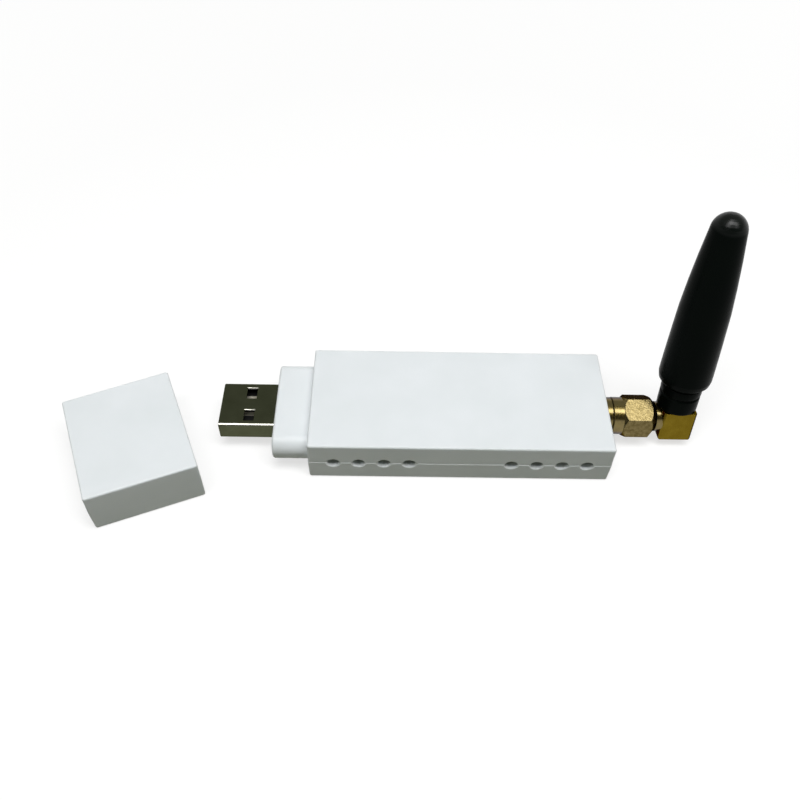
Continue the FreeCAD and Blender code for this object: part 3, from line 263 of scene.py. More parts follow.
def plated(name, light, deep, roughness, cloud_per_mm, grain_per_mm, grain_mm, lay=(1.0, 1.0, 1.0), coat=0.0,
           grazing=(1.0, 1.0, 1.0, 1.0), edge_mm=0.0):
    """Plated metal: a fine tooling grain drawn out along the lay, clouds of deeper tone and eased edges."""
    material, tree, shader, place = new_finish(name)
    clouds = noise(tree, place, cloud_per_mm, detail=3.0)
    grain = noise(tree, place, grain_per_mm, detail=3.0, stretch=lay)
    tone = mix(tree, spread(tree, clouds, low=0.0, high=0.8), light, deep)
    tone = mix(tree, spread(tree, grain, low=0.0, high=0.45), tone, deep)
    tree.links.new(tone, shader.inputs["Base Color"])
    tree.links.new(spread(tree, grain, roughness - 0.06, roughness + 0.08), shader.inputs["Roughness"])
    eased = None
    if edge_mm:
        eased = put(tree, "ShaderNodeBevel", {"Radius": edge_mm * MM}, samples=4).outputs[0]
    tree.links.new(relief(tree, grain, grain_mm, under=eased), shader.inputs["Normal"])
    shader.inputs["Metallic"].default_value = 1.0
    shader.inputs["Specular Tint"].default_value = grazing
    shader.inputs["Coat Weight"].default_value = coat
    shader.inputs["Coat Roughness"].default_value = 0.15
    shader.inputs["Coat IOR"].default_value = 1.7
    return material


tinned = plated("matt_tin", shade(170, 172, 170), shade(128, 131, 130), roughness=0.4, cloud_per_mm=1.5,
                grain_per_mm=12.0, grain_mm=0.004)
land_tree, land_in = new_recipe("land_rows", Count="Int", Pitch="Float", Spacing="Float", Length="Float",
                                Width="Float", Height="Float", Turn="Float", Centre="Vector")
gaps_between = math_node(land_tree, "SUBTRACT", land_in["Count"], 1.0)
along = math_node(land_tree, "MULTIPLY", gaps_between, land_in["Pitch"])
half_along = math_node(land_tree, "DIVIDE", along, -2.0)
half_apart = math_node(land_tree, "DIVIDE", land_in["Spacing"], 2.0)
row_start = put(land_tree, "ShaderNodeCombineXYZ", {"X": half_along, "Y": half_apart}).outputs[0]
row_step = put(land_tree, "ShaderNodeCombineXYZ", {"X": land_in["Pitch"]}).outputs[0]
row = put(land_tree, "GeometryNodeMeshLine", {"Count": land_in["Count"], "Start Location": row_start,
                                              "Offset": row_step}).outputs[0]
other_row = put(land_tree, "GeometryNodeTransform", {"Geometry": row,
                                                     "Rotation": (0.0, 0.0, math.pi)}).outputs[0]
rows = put(land_tree, "GeometryNodeJoinGeometry")
land_tree.links.new(row, rows.inputs[0])
land_tree.links.new(other_row, rows.inputs[0])
land_size = put(land_tree, "ShaderNodeCombineXYZ", {"X": land_in["Width"], "Y": land_in["Length"],
                                                    "Z": land_in["Height"]}).outputs[0]
land = put(land_tree, "GeometryNodeMeshCube", {"Size": land_size}).outputs[0]
lands = put(land_tree, "GeometryNodeInstanceOnPoints", {"Points": rows.outputs[0],
                                                        "Instance": land}).outputs[0]
turn = put(land_tree, "ShaderNodeCombineXYZ", {"Z": land_in["Turn"]}).outputs[0]
set_out = put(land_tree, "GeometryNodeTransform", {"Geometry": lands, "Rotation": turn,
                                                   "Translation": land_in["Centre"]}).outputs[0]
end_recipe(land_tree, set_out, tinned)

chip_low, chip_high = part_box("usb_bridge_chip")
chip_side = chip_high.x - chip_low.x
LAND_INSET = 0.1 * MM
LAND_MIDDLE = 0.11 * MM
for number, quarter in enumerate((0.0, math.pi / 2)):
    chip_lands = make_from_recipe(land_tree, "chip_lands_%d" % (number + 1), {
        "Count": 8,
        "Pitch": 0.5 * MM,
        "Spacing": chip_side - LAND_INSET,
        "Length": 0.22 * MM,
        "Width": 0.24 * MM,
        "Height": 0.2 * MM,
        "Turn": quarter,
        "Centre": ((chip_low.x + chip_high.x) / 2, (chip_low.y + chip_high.y) / 2, chip_low.z + LAND_MIDDLE),
    })
    fit(chip_lands, "housing", "can_steel")


# Voltage regulator, power inductor and crystal
# Reflow-soldered parts: the regulator is black epoxy on a bent tinned frame, the inductor a sintered
# ferrite drum in a resin-filled frame, and the crystal a seam-welded can with a brushed lid.
regulator_body = moulded("regulator_epoxy", shade(34, 34, 36), shade(25, 25, 27), roughness=0.5,
                         grain_per_mm=12.0, grain_mm=0.008)
dress(regulator_body, "chip_resin", "voltage_regulator")
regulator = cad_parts["voltage_regulator"]
regulator.data.materials.append(tinned)
regulator_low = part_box("voltage_regulator")[0]
LEAD_TOP = 0.31 * MM
for face in regulator.data.polygons:
    is_level = abs(face.normal.z) > 0.5
    if face.center.z < regulator_low.z + LEAD_TOP and is_level:
        face.material_index = 1
ferrite = moulded("sintered_ferrite", shade(70, 68, 66), shade(48, 47, 46), roughness=0.62,
                  grain_per_mm=5.0, grain_mm=0.02)
dress(ferrite, "inductor_ferrite", "power_inductor")
can_lid = plated("brushed_can_lid", shade(176, 176, 172), shade(140, 141, 140), roughness=0.3,
                 cloud_per_mm=0.8, grain_per_mm=6.0, grain_mm=0.002, lay=(0.15, 1.0, 1.0))
dress(can_lid, "can_steel", "crystal", "radio_module_shield", "sim_socket")


# Capacitors
# Five ceramic blocks in a row, fired tan, with tinned ends that wrap round all five sides of each
# end. They are placed by machine and held by their solder alone.
ceramic = moulded("fired_ceramic", shade(176, 146, 112), shade(150, 120, 88), roughness=0.5,
                  grain_per_mm=10.0, grain_mm=0.003)
dress(ceramic, "capacitor_ceramic", "capacitors")
rack_low, rack_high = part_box("capacitors")
rack_centre = (rack_low + rack_high) / 2
END_OVERLAP = 0.46 * MM
SOLDER_FILM = 0.02 * MM
end_caps = make_from_recipe(land_tree, "capacitor_ends", {
    "Count": 5,
    "Pitch": 3.0 * MM,
    "Spacing": rack_high.x - rack_low.x - END_OVERLAP,
    "Length": 0.5 * MM,
    "Width": 1.64 * MM,
    "Height": rack_high.z - rack_low.z - SOLDER_FILM,
    "Turn": math.pi / 2,
    "Centre": (rack_centre.x, rack_centre.y, rack_centre.z + SOLDER_FILM),
})
fit(end_caps, "housing", "can_steel")


# Status lights
# Two chip lights at the board's edge, each behind a vent: a white ceramic base, and a clear epoxy
# lens cast over the die, which scatters the light a little.
def clear_lens():
    material, tree, shader, place = new_finish("cast_clear_epoxy")
    haze = noise(tree, place, per_mm=6.0, detail=3.0)
    tone = mix(tree, spread(tree, haze, low=0.0, high=1.0), shade(226, 236, 214), shade(206, 224, 188))
    tree.links.new(tone, shader.inputs["Base Color"])
    tree.links.new(spread(tree, haze, low=0.12, high=0.3), shader.inputs["Roughness"])
    shader.inputs["Transmission Weight"].default_value = 0.35
    shader.inputs["IOR"].default_value = 1.5
    return material


dress(clear_lens(), "light_lens", "status_lights")


# Card and its socket
# The card is punched from white plastic sheet, one corner cut off so that it goes in one way only,
# and rests in the folded socket under the board.
card_sheet = moulded("punched_card_sheet", shade(228, 226, 218), shade(214, 212, 204), roughness=0.38,
                     grain_per_mm=7.0, grain_mm=0.003)
dress(card_sheet, "card_plastic", "sim_card")


# Radio module
# A bought-in module: a small blue-masked board whose half-round lands are plated in gold and
# soldered to the main board, and a drawn can clipped over the circuit.
module_low, module_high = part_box("radio_module_board")
blue_mask = laminate("blue_masked_laminate", shade(20, 44, 84), shade(42, 78, 128), shade(150, 146, 112),
                     module_low.z / MM, module_high.z / MM)
dress(blue_mask, "module_laminate", "radio_module_board")
hard_gold = plated("hard_gold_on_contacts", shade(232, 190, 96), shade(196, 150, 62), roughness=0.24,
                   cloud_per_mm=2.0, grain_per_mm=14.0, grain_mm=0.002, lay=(0.2, 1.0, 1.0))
PLATING_THICKNESS = 0.06 * MM

notch_tree, notch_in = new_recipe("half_round_lands", Count="Int", Pitch="Float", Spacing="Float",
                                  Radius="Float", Height="Float", Centre="Vector")
notch_gaps = math_node(notch_tree, "SUBTRACT", notch_in["Count"], 1.0)
reach = math_node(notch_tree, "MULTIPLY", notch_gaps, notch_in["Pitch"])
notch_start = put(notch_tree, "ShaderNodeCombineXYZ", {
    "X": math_node(notch_tree, "DIVIDE", reach, -2.0),
    "Y": math_node(notch_tree, "DIVIDE", notch_in["Spacing"], 2.0),
}).outputs[0]
notch_step = put(notch_tree, "ShaderNodeCombineXYZ", {"X": notch_in["Pitch"]}).outputs[0]
notches = put(notch_tree, "GeometryNodeMeshLine", {"Count": notch_in["Count"], "Start Location": notch_start,
                                                   "Offset": notch_step}).outputs[0]
half_ring = put(notch_tree, "GeometryNodeCurveArc", {"Resolution": 10, "Radius": notch_in["Radius"],
                                                     "Start Angle": math.pi,
                                                     "Sweep Angle": math.pi}).outputs[0]
plating = put(notch_tree, "GeometryNodeCurvePrimitiveQuadrilateral", {"Width": PLATING_THICKNESS,
                                                                     "Height": notch_in["Height"]}).outputs[0]
lining = put(notch_tree, "GeometryNodeCurveToMesh", {"Curve": half_ring, "Profile Curve": plating,
                                                     "Fill Caps": True}).outputs[0]
linings = put(notch_tree, "GeometryNodeInstanceOnPoints", {"Points": notches, "Instance": lining}).outputs[0]
turned_linings = put(notch_tree, "GeometryNodeTransform", {"Geometry": linings,
                                                           "Rotation": (0.0, 0.0, math.pi)}).outputs[0]
both_rows = put(notch_tree, "GeometryNodeJoinGeometry")
notch_tree.links.new(linings, both_rows.inputs[0])
notch_tree.links.new(turned_linings, both_rows.inputs[0])
notch_rows = put(notch_tree, "GeometryNodeTransform", {"Geometry": both_rows.outputs[0],
                                                       "Translation": notch_in["Centre"]}).outputs[0]
end_recipe(notch_tree, notch_rows, hard_gold)
module_lands = make_from_recipe(notch_tree, "module_lands", {
    "Count": 7,
    "Pitch": 2.2 * MM,
    "Spacing": module_high.y - module_low.y,
    "Radius": 0.27 * MM,
    "Height": module_high.z - module_low.z,
    "Centre": (module_low + module_high) / 2,
})
fit(module_lands, "housing", "gold_contact")


# Plug shell
# Spring steel, blanked with two latch windows, folded round the tongue with the seam underneath and
# plated dark nickel. The windows' far cut faces are painted near-white: bare steel with a painted
# highlight in its colour. Their rolled rims and the front fold carry a painted highlight of pale nickel.
dark_nickel = plated("dark_nickel_plate", shade(83, 86, 68), shade(71, 74, 56), roughness=0.2,
                     cloud_per_mm=0.25, grain_per_mm=7.0, grain_mm=0.0015, lay=(0.12, 1.0, 1.0),
                     grazing=(0.35, 0.36, 0.28, 1.0))
# The cut faces are painted near-white: the bare steel's own lighter edge, with a painted highlight laid into
# the colour.
bare_edge_painted_highlight = moulded("bare_steel_edge_painted_highlight", shade(246, 246, 240), shade(234, 234, 228), roughness=0.45,
                  grain_per_mm=6.0, grain_mm=0.004)
# A pale nickel that paints a highlight on the front fold and on the front faces of the rolled rims.
painted_highlight_nickel = plated("nickel_fold_painted_highlight", shade(226, 224, 212), shade(204, 203, 192), roughness=0.3,
                cloud_per_mm=1.5, grain_per_mm=9.0, grain_mm=0.002, lay=(0.12, 1.0, 1.0))
PLATED, BARE_EDGE_HIGHLIGHT, PAINTED_HIGHLIGHT = range(3)
plug_sleeve = smoothed_copy("usb_shell", "plug_sleeve")
for finish in (dark_nickel, bare_edge_painted_highlight, painted_highlight_nickel):
    plug_sleeve.data.materials.append(finish)
sleeve_low, sleeve_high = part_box("usb_shell")
ROLLED_EDGE = 0.18 * MM
ROLLED_FOLD = math.radians(40.0)
FRONT_FOLD_WIDTH = 0.7 * MM
WINDOWS_FROM_MOUTH = 1.0 * MM
WINDOWS_FROM_REAR = 8.0 * MM
WINDOWS_FROM_SIDES = 0.9 * MM
WINDOWS_FROM_MIDDLE = 0.5 * MM
TOUCH = 0.01 * MM


def at_window(place):
    """Whether a place lies over one of the two latch windows or on its rim."""
    inside_length = sleeve_low.x + WINDOWS_FROM_MOUTH < place.x < sleeve_high.x - WINDOWS_FROM_REAR
    inside_width = sleeve_low.y + WINDOWS_FROM_SIDES < place.y < sleeve_high.y - WINDOWS_FROM_SIDES
    return inside_length and inside_width and abs(place.y) > WINDOWS_FROM_MIDDLE


# Window faces that face the viewer get the near-white painted highlight.
for face in plug_sleeve.data.polygons:
    faces_front = face.normal.y < -0.7
    if at_window(face.center) and faces_front:
        face.material_index = BARE_EDGE_HIGHLIGHT
pressed = bmesh.new()
pressed.from_mesh(plug_sleeve.data)
rims = [edge for edge in pressed.edges
        if len(edge.link_faces) == 2 and at_window((edge.verts[0].co + edge.verts[1].co) / 2)
        and min(vertex.co.z for vertex in edge.verts) > sleeve_high.z - TOUCH
        and min(abs(face.normal.z) for face in edge.link_faces) < 0.3]
# The rolled rims are real geometry; their new faces take the pale nickel of the painted highlight.
bmesh.ops.bevel(pressed, geom=rims, offset=ROLLED_EDGE, segments=3, profile=0.5, affect="EDGES",
                material=PAINTED_HIGHLIGHT)
pressed.to_mesh(plug_sleeve.data)
pressed.free()
plug_sleeve.data.set_sharp_from_angle(angle=ROLLED_FOLD)
# Only the rims' faces towards the viewer and the round of the front fold keep the painted highlight.
for face in plug_sleeve.data.polygons:
    away_from_front = face.normal.y > -0.2
    if face.material_index == PAINTED_HIGHLIGHT and away_from_front:
        face.material_index = PLATED
    on_round = face.normal.y < -0.05 and face.normal.z > 0.6
    if on_round and face.center.y < sleeve_low.y + FRONT_FOLD_WIDTH:
        face.material_index = PAINTED_HIGHLIGHT
fit(plug_sleeve, "housing", "plug_steel", "usb_shell")


# Tongue and contacts
# The tongue is glass-filled black plastic. Four strips of phosphor bronze, gold plated where the
# port's springs wipe them, lie in its slots and are soldered to the board's tab.
tongue_black = moulded("glass_filled_black", shade(12, 12, 12), shade(8, 8, 8), roughness=0.5,
                       grain_per_mm=8.0, grain_mm=0.005, gloss=0.2)
dress(tongue_black, "tongue_plastic", "usb_tongue")
flash_gold = plated("flash_gold_over_nickel", shade(228, 224, 210), shade(204, 199, 180), roughness=0.44,
                    cloud_per_mm=1.0, grain_per_mm=8.0, grain_mm=0.003, lay=(0.15, 1.0, 1.0))
dress(flash_gold, "gold_contact", "usb_contact_1", "usb_contact_2", "usb_contact_3", "usb_contact_4")


# Jack in the end wall
# Brass, milled square at the back and turned in front, with a thread for the nut, gold plated all
# over. The housing's halves close round it behind the flange.
GOLD_EDGE = (0.12, 0.09, 0.03, 1.0)
olive_gold = plated("thin_gold_plate", shade(118, 100, 32), shade(102, 84, 22), roughness=0.24,
                    cloud_per_mm=0.5, grain_per_mm=5.0, grain_mm=0.004, grazing=GOLD_EDGE, edge_mm=0.12)
turned_gold = plated("turned_gold_plate", shade(118, 102, 46), shade(102, 86, 34), roughness=0.22,
                     cloud_per_mm=0.8, grain_per_mm=8.0, grain_mm=0.001, lay=(1.0, 0.12, 0.12), coat=0.6,
                     grazing=GOLD_EDGE, edge_mm=0.1)
jack = smoothed_copy("jack_body", "threaded_jack")
jack.data.materials.append(turned_gold)
AXIS_HEIGHT = 5.35 * MM
jack_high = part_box("jack_body")[1]
BARREL_LENGTH = 5.7 * MM
BARREL_RADIUS = 3.175 * MM
BARREL_PLAY = 0.05 * MM
BORE_LIMIT = 2.6 * MM
THREAD_PITCH = 0.7056 * MM
THREAD_DEPTH = 0.4 * MM
THREAD_START = 34.15 * MM
THREAD_LENGTH = 4.85 * MM
THREAD_SINK = 0.01 * MM
for vertex in jack.data.vertices:
    across = Vector((vertex.co.y, vertex.co.z - AXIS_HEIGHT))
    on_skin = BORE_LIMIT < across.length < BARREL_RADIUS + BARREL_PLAY
    if on_skin and vertex.co.x > jack_high.x - BARREL_LENGTH - TOUCH:
        root = across.normalized() * (across.length - THREAD_DEPTH)
        vertex.co.y = root.x
        vertex.co.z = root.y + AXIS_HEIGHT
fit(jack, "housing", "gold_brass", "jack_body")

thread_tree, thread_in = new_recipe("screw_thread", Radius="Float", Pitch="Float", Length="Float",
                                    Depth="Float", Start="Vector")
turns = math_node(thread_tree, "DIVIDE", thread_in["Length"], thread_in["Pitch"])
helix = put(thread_tree, "GeometryNodeCurveSpiral", {"Resolution": 40, "Rotations": turns,
                                                     "Start Radius": thread_in["Radius"],
                                                     "End Radius": thread_in["Radius"],
                                                     "Height": thread_in["Length"]}).outputs[0]
upright = put(thread_tree, "GeometryNodeSetCurveNormal", {"Curve": helix}, mode="Z_UP").outputs[0]
ridge = put(thread_tree, "GeometryNodeCurvePrimitiveQuadrilateral", {
    "Bottom Width": math_node(thread_tree, "MULTIPLY", thread_in["Pitch"], 0.9),
    "Top Width": math_node(thread_tree, "MULTIPLY", thread_in["Pitch"], 0.15),
    "Height": thread_in["Depth"],
    "Offset": 0.0,
}, mode="TRAPEZOID").outputs[0]
standing = put(thread_tree, "GeometryNodeTransform", {"Geometry": ridge,
                                                      "Rotation": (0.0, 0.0, -math.pi / 2)}).outputs[0]
thread = put(thread_tree, "GeometryNodeCurveToMesh", {"Curve": upright, "Profile Curve": standing,
                                                      "Fill Caps": True}).outputs[0]
laid = put(thread_tree, "GeometryNodeTransform", {"Geometry": thread, "Rotation": (0.0, math.pi / 2, 0.0),
                                                  "Translation": thread_in["Start"]}).outputs[0]
end_recipe(thread_tree, laid, turned_gold)
jack_thread = make_from_recipe(thread_tree, "jack_thread", {
    "Radius": BARREL_RADIUS - THREAD_DEPTH / 2 - THREAD_SINK,
    "Pitch": THREAD_PITCH,
    "Length": THREAD_LENGTH,
    "Depth": THREAD_DEPTH,
    "Start": (THREAD_START, 0.0, AXIS_HEIGHT),
})
fit(jack_thread, "housing", "gold_brass")


# Line through the jack and the plug
# Milky fluoropolymer rods, turned and pressed into the bores, hold a gold-plated pin in the plug
# and a slit socket of the same finish in the jack.
def fluoropolymer():
    material, tree, shader, place = new_finish("milky_fluoropolymer")
    cloud = noise(tree, place, per_mm=1.2, detail=3.0)
    tooling = put(tree, "ShaderNodeTexWave", {"Vector": place, "Scale": 2.2, "Distortion": 0.4},
                  bands_direction="X").outputs["Fac"]
    tone = mix(tree, spread(tree, cloud, low=0.0, high=1.0), shade(238, 238, 234), shade(224, 225, 222))
    tree.links.new(tone, shader.inputs["Base Color"])
    tree.links.new(spread(tree, cloud, low=0.38, high=0.5), shader.inputs["Roughness"])
    tree.links.new(relief(tree, tooling, depth_mm=0.004), shader.inputs["Normal"])
    shader.inputs["Subsurface Weight"].default_value = 0.2
    shader.inputs["Subsurface Radius"].default_value = (0.001, 0.001, 0.001)
    return material


dress(fluoropolymer(), "line_insulator", "jack_insulator", "plug_insulator", "feed_insulator")
dress(hard_gold, "gold_contact", "jack_contact", "plug_contact", "feed_pin")


# Upper half of the housing
# The second white half snaps on the lip of the first. Its rim is drawn in over the other's bevel, so
# the parting line shows as a thin light ledge, and its halves of the vents are flatter than round.
upper_half = smoothed_copy("top_cover", "upper_half")
upper_half.data.materials.append(white_satin)
upper_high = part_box("top_cover")[1]
PARTING_HEIGHT = AXIS_HEIGHT
RIM_DRAWN_IN = 0.07 * MM
SKIN_DEPTH = 0.4 * MM
WALL_DEPTH = 2.2 * MM
JUST_UNDER_RIM = 1.01
VENT_RADIUS = 1.35 * MM
VENT_PLAY = 0.03 * MM
OUTERMOST_VENT_MM = 26.95
VENT_PITCH_MM = 5.37
VENTS_IN_GROUP = 4
VENT_CROWN = 0.8
VENT_PLACES = [side * (OUTERMOST_VENT_MM - VENT_PITCH_MM * number) * MM
               for number in range(VENTS_IN_GROUP) for side in (-1, 1)]
for vertex in upper_half.data.vertices:
    above = vertex.co.z - PARTING_HEIGHT
    reaches = [math.hypot(vertex.co.x - x, above) for x in VENT_PLACES]
    on_vent = min(abs(reach - VENT_RADIUS) for reach in reaches) < VENT_PLAY
    if on_vent and above > TOUCH and abs(vertex.co.y) > upper_high.y - WALL_DEPTH:
        vertex.co.z = PARTING_HEIGHT + above * VENT_CROWN
for vertex in upper_half.data.vertices:
    share = (upper_high.z - vertex.co.z) / (upper_high.z - PARTING_HEIGHT)
    on_side = abs(vertex.co.y) > upper_high.y - SKIN_DEPTH
    on_end = upper_high.x - SKIN_DEPTH < abs(vertex.co.x) < upper_high.x + TOUCH
    if on_side and share < JUST_UNDER_RIM:
        vertex.co.y -= math.copysign(RIM_DRAWN_IN * share, vertex.co.y)
    if on_end and share < JUST_UNDER_RIM:
        vertex.co.x -= math.copysign(RIM_DRAWN_IN * share, vertex.co.x)
fit(upper_half, "housing", "white_shell", "top_cover")


# Elbow of the plug
# Square brass bar, drilled both ways and turned down at its neck and at the barbed boss for the
# boot, then barrel tumbled and gold plated. A pressed disc closes the port it was soldered through.
elbow = smoothed_copy("elbow_body", "square_elbow")
elbow.data.materials.append(olive_gold)
elbow.data.materials.append(turned_gold)
TURNED = 1
LEAN = math.radians(11.2)
core_low, core_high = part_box("antenna_core")
ANTENNA_FOOT = Vector(((core_low.x + core_high.x) / 2, 0.0, AXIS_HEIGHT))
leaning_up = Matrix.Rotation(-LEAN, 3, "X") @ Vector((0.0, 0.0, 1.0))
BLOCK_TOP = 4.15 * MM
CHAMFER_FOOT = 3.75 * MM
CHAMFER_SHARE = 0.25
SEEN_TOP = 3.55 * MM
BLOCK_LENGTH = 7.15 * MM
# The boot's foot hides the top of the block, so the block ends lower and its chamfer is smaller
for vertex in elbow.data.vertices:
    rise = (vertex.co - ANTENNA_FOOT).dot(leaning_up)
    if CHAMFER_FOOT - TOUCH < rise < BLOCK_TOP + TOUCH:
        settled = SEEN_TOP + (rise - BLOCK_TOP) * CHAMFER_SHARE
        vertex.co += leaning_up * (settled - rise)
lid_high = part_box("elbow_cover")[1]
for face in elbow.data.polygons:
    if face.center.x < lid_high.x - BLOCK_LENGTH:
        face.material_index = TURNED
fit(elbow, "antenna", "gold_brass", "elbow_body")
port_lid = smoothed_copy("elbow_cover", "port_lid")
port_lid.data.materials.append(olive_gold)
fit(port_lid, "antenna", "gold_brass", "elbow_cover")


# Coupling nut with its ring and gasket
# Turned from hexagon bar: a round collar in front, chamfers at both ends of the hexagon. The flats
# keep the bar's grain under the plating. A bronze ring holds it on, and a rubber ring seals the jack.
spinner = smoothed_copy("coupling_nut", "spinner_nut")
bar_gold = plated("gold_plate_on_bar", shade(128, 115, 80), shade(84, 73, 42), roughness=0.26,
                  cloud_per_mm=1.2, grain_per_mm=3.0, grain_mm=0.03, grazing=GOLD_EDGE, edge_mm=0.3)
spinner.data.materials.append(bar_gold)
spinner.data.materials.append(turned_gold)
nut_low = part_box("coupling_nut")[0]
COLLAR_LENGTH = 2.35 * MM
for face in spinner.data.polygons:
    if face.center.x < nut_low.x + COLLAR_LENGTH:
        face.material_index = TURNED
fit(spinner, "coupling_nut", "gold_brass", "coupling_nut")
ring_bronze = plated("spring_bronze", shade(178, 128, 78), shade(146, 100, 58), roughness=0.32,
                     cloud_per_mm=1.0, grain_per_mm=9.0, grain_mm=0.004)
dress(ring_bronze, "ring_bronze", "retaining_ring")
seal_rubber = moulded("seal_rubber", shade(150, 52, 34), shade(128, 42, 28), roughness=0.6,
                      grain_per_mm=6.0, grain_mm=0.006)
dress(seal_rubber, "gasket_rubber", "sealing_gasket")


# Former and coil
# The radiator is a spring of plated wire, wound open on a nylon former and soldered to the collar
# of the feed pin. Both stand inside the boot and lean with it.
former_nylon = moulded("natural_nylon", shade(222, 214, 190), shade(208, 199, 172), roughness=0.45,
                       grain_per_mm=5.0, grain_mm=0.004)
dress(former_nylon, "former_plastic", "antenna_core")
spring_wire = plated("bright_spring_wire", shade(196, 192, 180), shade(160, 156, 142), roughness=0.22,
                     cloud_per_mm=1.5, grain_per_mm=10.0, grain_mm=0.002)
coil_tree, coil_in = new_recipe("wound_coil", Radius="Float", Pitch="Float", Turns="Float", Wire="Float",
                                Start="Float", Lean="Float", Foot="Vector")
coil_height = math_node(coil_tree, "MULTIPLY", coil_in["Pitch"], coil_in["Turns"])
winding = put(coil_tree, "GeometryNodeCurveSpiral", {"Resolution": 48, "Rotations": coil_in["Turns"],
                                                     "Start Radius": coil_in["Radius"],
                                                     "End Radius": coil_in["Radius"],
                                                     "Height": coil_height}).outputs[0]
wire_section = put(coil_tree, "GeometryNodeCurvePrimitiveCircle", {
    "Resolution": 12,
    "Radius": math_node(coil_tree, "DIVIDE", coil_in["Wire"], 2.0),
}).outputs[0]
wound = put(coil_tree, "GeometryNodeCurveToMesh", {"Curve": winding, "Profile Curve": wire_section,
                                                   "Fill Caps": True}).outputs[0]
raised = put(coil_tree, "GeometryNodeTransform", {
    "Geometry": wound,
    "Translation": put(coil_tree, "ShaderNodeCombineXYZ", {"Z": coil_in["Start"]}).outputs[0],
}).outputs[0]
leant = put(coil_tree, "GeometryNodeTransform", {
    "Geometry": raised,
    "Rotation": put(coil_tree, "ShaderNodeCombineXYZ",
                    {"X": math_node(coil_tree, "MULTIPLY", coil_in["Lean"], -1.0)}).outputs[0],
    "Translation": coil_in["Foot"],
}).outputs[0]
end_recipe(coil_tree, leant, spring_wire)
coil = make_from_recipe(coil_tree, "wound_radiator", {
    "Radius": 2.3 * MM,
    "Pitch": 5.6 * MM,
    "Turns": 5.0,
    "Wire": 0.6 * MM,
    "Start": 9.1 * MM,
    "Lean": LEAN,
    "Foot": ANTENNA_FOOT,
})
coil.data.shade_smooth()
fit(coil, "antenna", "coil_wire", "antenna_coil")


# Rubber boot
# Matt black rubber, moulded as one turned form: two soft bellows rings at the foot that grip the
# boss, a shoulder, then a slender body that swells a little and closes in a blunt dome.
boot_rubber = moulded("matt_black_rubber", shade(7, 12, 9), shade(4, 8, 6), roughness=0.27,
                      grain_per_mm=7.0, grain_mm=0.004)
rubber_tree = boot_rubber.node_tree
rubber_place = put(rubber_tree, "ShaderNodeTexCoord").outputs["Object"]
rubber_height = put(rubber_tree, "ShaderNodeSeparateXYZ", {0: rubber_place}).outputs["Z"]
POLISHED_FROM = 51.2 * MM
POLISHED_TO = 53.2 * MM
polish = spread(rubber_tree, rubber_height, low=0.05, high=0.45, start=POLISHED_FROM, end=POLISHED_TO)
rubber_shader = next(node for node in rubber_tree.nodes if node.type == "BSDF_PRINCIPLED")
rubber_tree.links.new(polish, rubber_shader.inputs["Specular IOR Level"])
rubber_shader.inputs["IOR"].default_value = 1.32
FOOT_HEIGHT = 3.6
SOCKET_RADIUS = 3.05
BOOT_OUTLINE = [
    (SOCKET_RADIUS, 0.0), (4.15, 0.0), (4.27, 0.2), (4.3, 0.6), (4.3, 3.5), (3.9, 3.9), (4.35, 4.3),
    (4.35, 6.05), (3.95, 6.4), (3.95, 6.7), (4.8, 6.7), (5.37, 7.35), (5.58, 8.5), (5.52, 12.0),
    (5.35, 18.4), (5.14, 24.8), (4.7, 30.85), (4.18, 36.4), (3.66, 41.05),
]
TIP_RADIUS = 3.5
TIP_CENTRE = 42.3
TIP_SLOPE = math.radians(5.3)
DOME_STEPS = 9
SOCKET_TOP = 4.6
ROOM_TOP = 34.05
ROOM_RADIUS = 2.7
outline = [(0.0, ROOM_TOP), (ROOM_RADIUS, ROOM_TOP), (ROOM_RADIUS, SOCKET_TOP), (SOCKET_RADIUS, SOCKET_TOP)]
outline += BOOT_OUTLINE
for step in range(DOME_STEPS + 1):
    angle = TIP_SLOPE + (math.pi / 2 - TIP_SLOPE) * step / DOME_STEPS
    outline.append((TIP_RADIUS * math.cos(angle), TIP_CENTRE + TIP_RADIUS * math.sin(angle)))
outline_mesh = bpy.data.meshes.new("boot_outline")
outline_mesh.from_pydata([(r * MM, h * MM, 0.0) for r, h in outline],
                         [(i, i + 1) for i in range(len(outline) - 1)], [])

lathe_tree, lathe_in = new_recipe("turned_rubber", Outline="Geometry", Facets="Int", Rounding="Float",
                                  Lean="Float", Foot="Vector")
section = put(lathe_tree, "GeometryNodeMeshToCurve", {"Mesh": lathe_in["Outline"]}).outputs[0]
rounded = put(lathe_tree, "GeometryNodeFilletCurve", {
    "Curve": section,
    "Radius": lathe_in["Rounding"],
    "Limit Radius": True,
    "Count": 3,
}, mode="POLY").outputs[0]
HUB_RADIUS = 1.0 * MM
section_place = put(lathe_tree, "ShaderNodeSeparateXYZ",
                    {0: put(lathe_tree, "GeometryNodeInputPosition").outputs[0]}).outputs
turned_place = put(lathe_tree, "ShaderNodeCombineXYZ", {
    "X": math_node(lathe_tree, "SUBTRACT", section_place["X"], HUB_RADIUS),
    "Y": math_node(lathe_tree, "MULTIPLY", section_place["Y"], -1.0),
}).outputs[0]
blade = put(lathe_tree, "GeometryNodeSetPosition", {"Geometry": rounded, "Position": turned_place}).outputs[0]
circle = put(lathe_tree, "GeometryNodeCurvePrimitiveCircle", {"Resolution": lathe_in["Facets"],
                                                              "Radius": HUB_RADIUS}).outputs[0]
spindle = put(lathe_tree, "GeometryNodeSetCurveNormal", {"Curve": circle}, mode="Z_UP").outputs[0]
skin = put(lathe_tree, "GeometryNodeCurveToMesh", {"Curve": spindle, "Profile Curve": blade}).outputs[0]
SEAM_GAP = 0.002 * MM
closed = put(lathe_tree, "GeometryNodeMergeByDistance", {"Geometry": skin, "Distance": SEAM_GAP}).outputs[0]
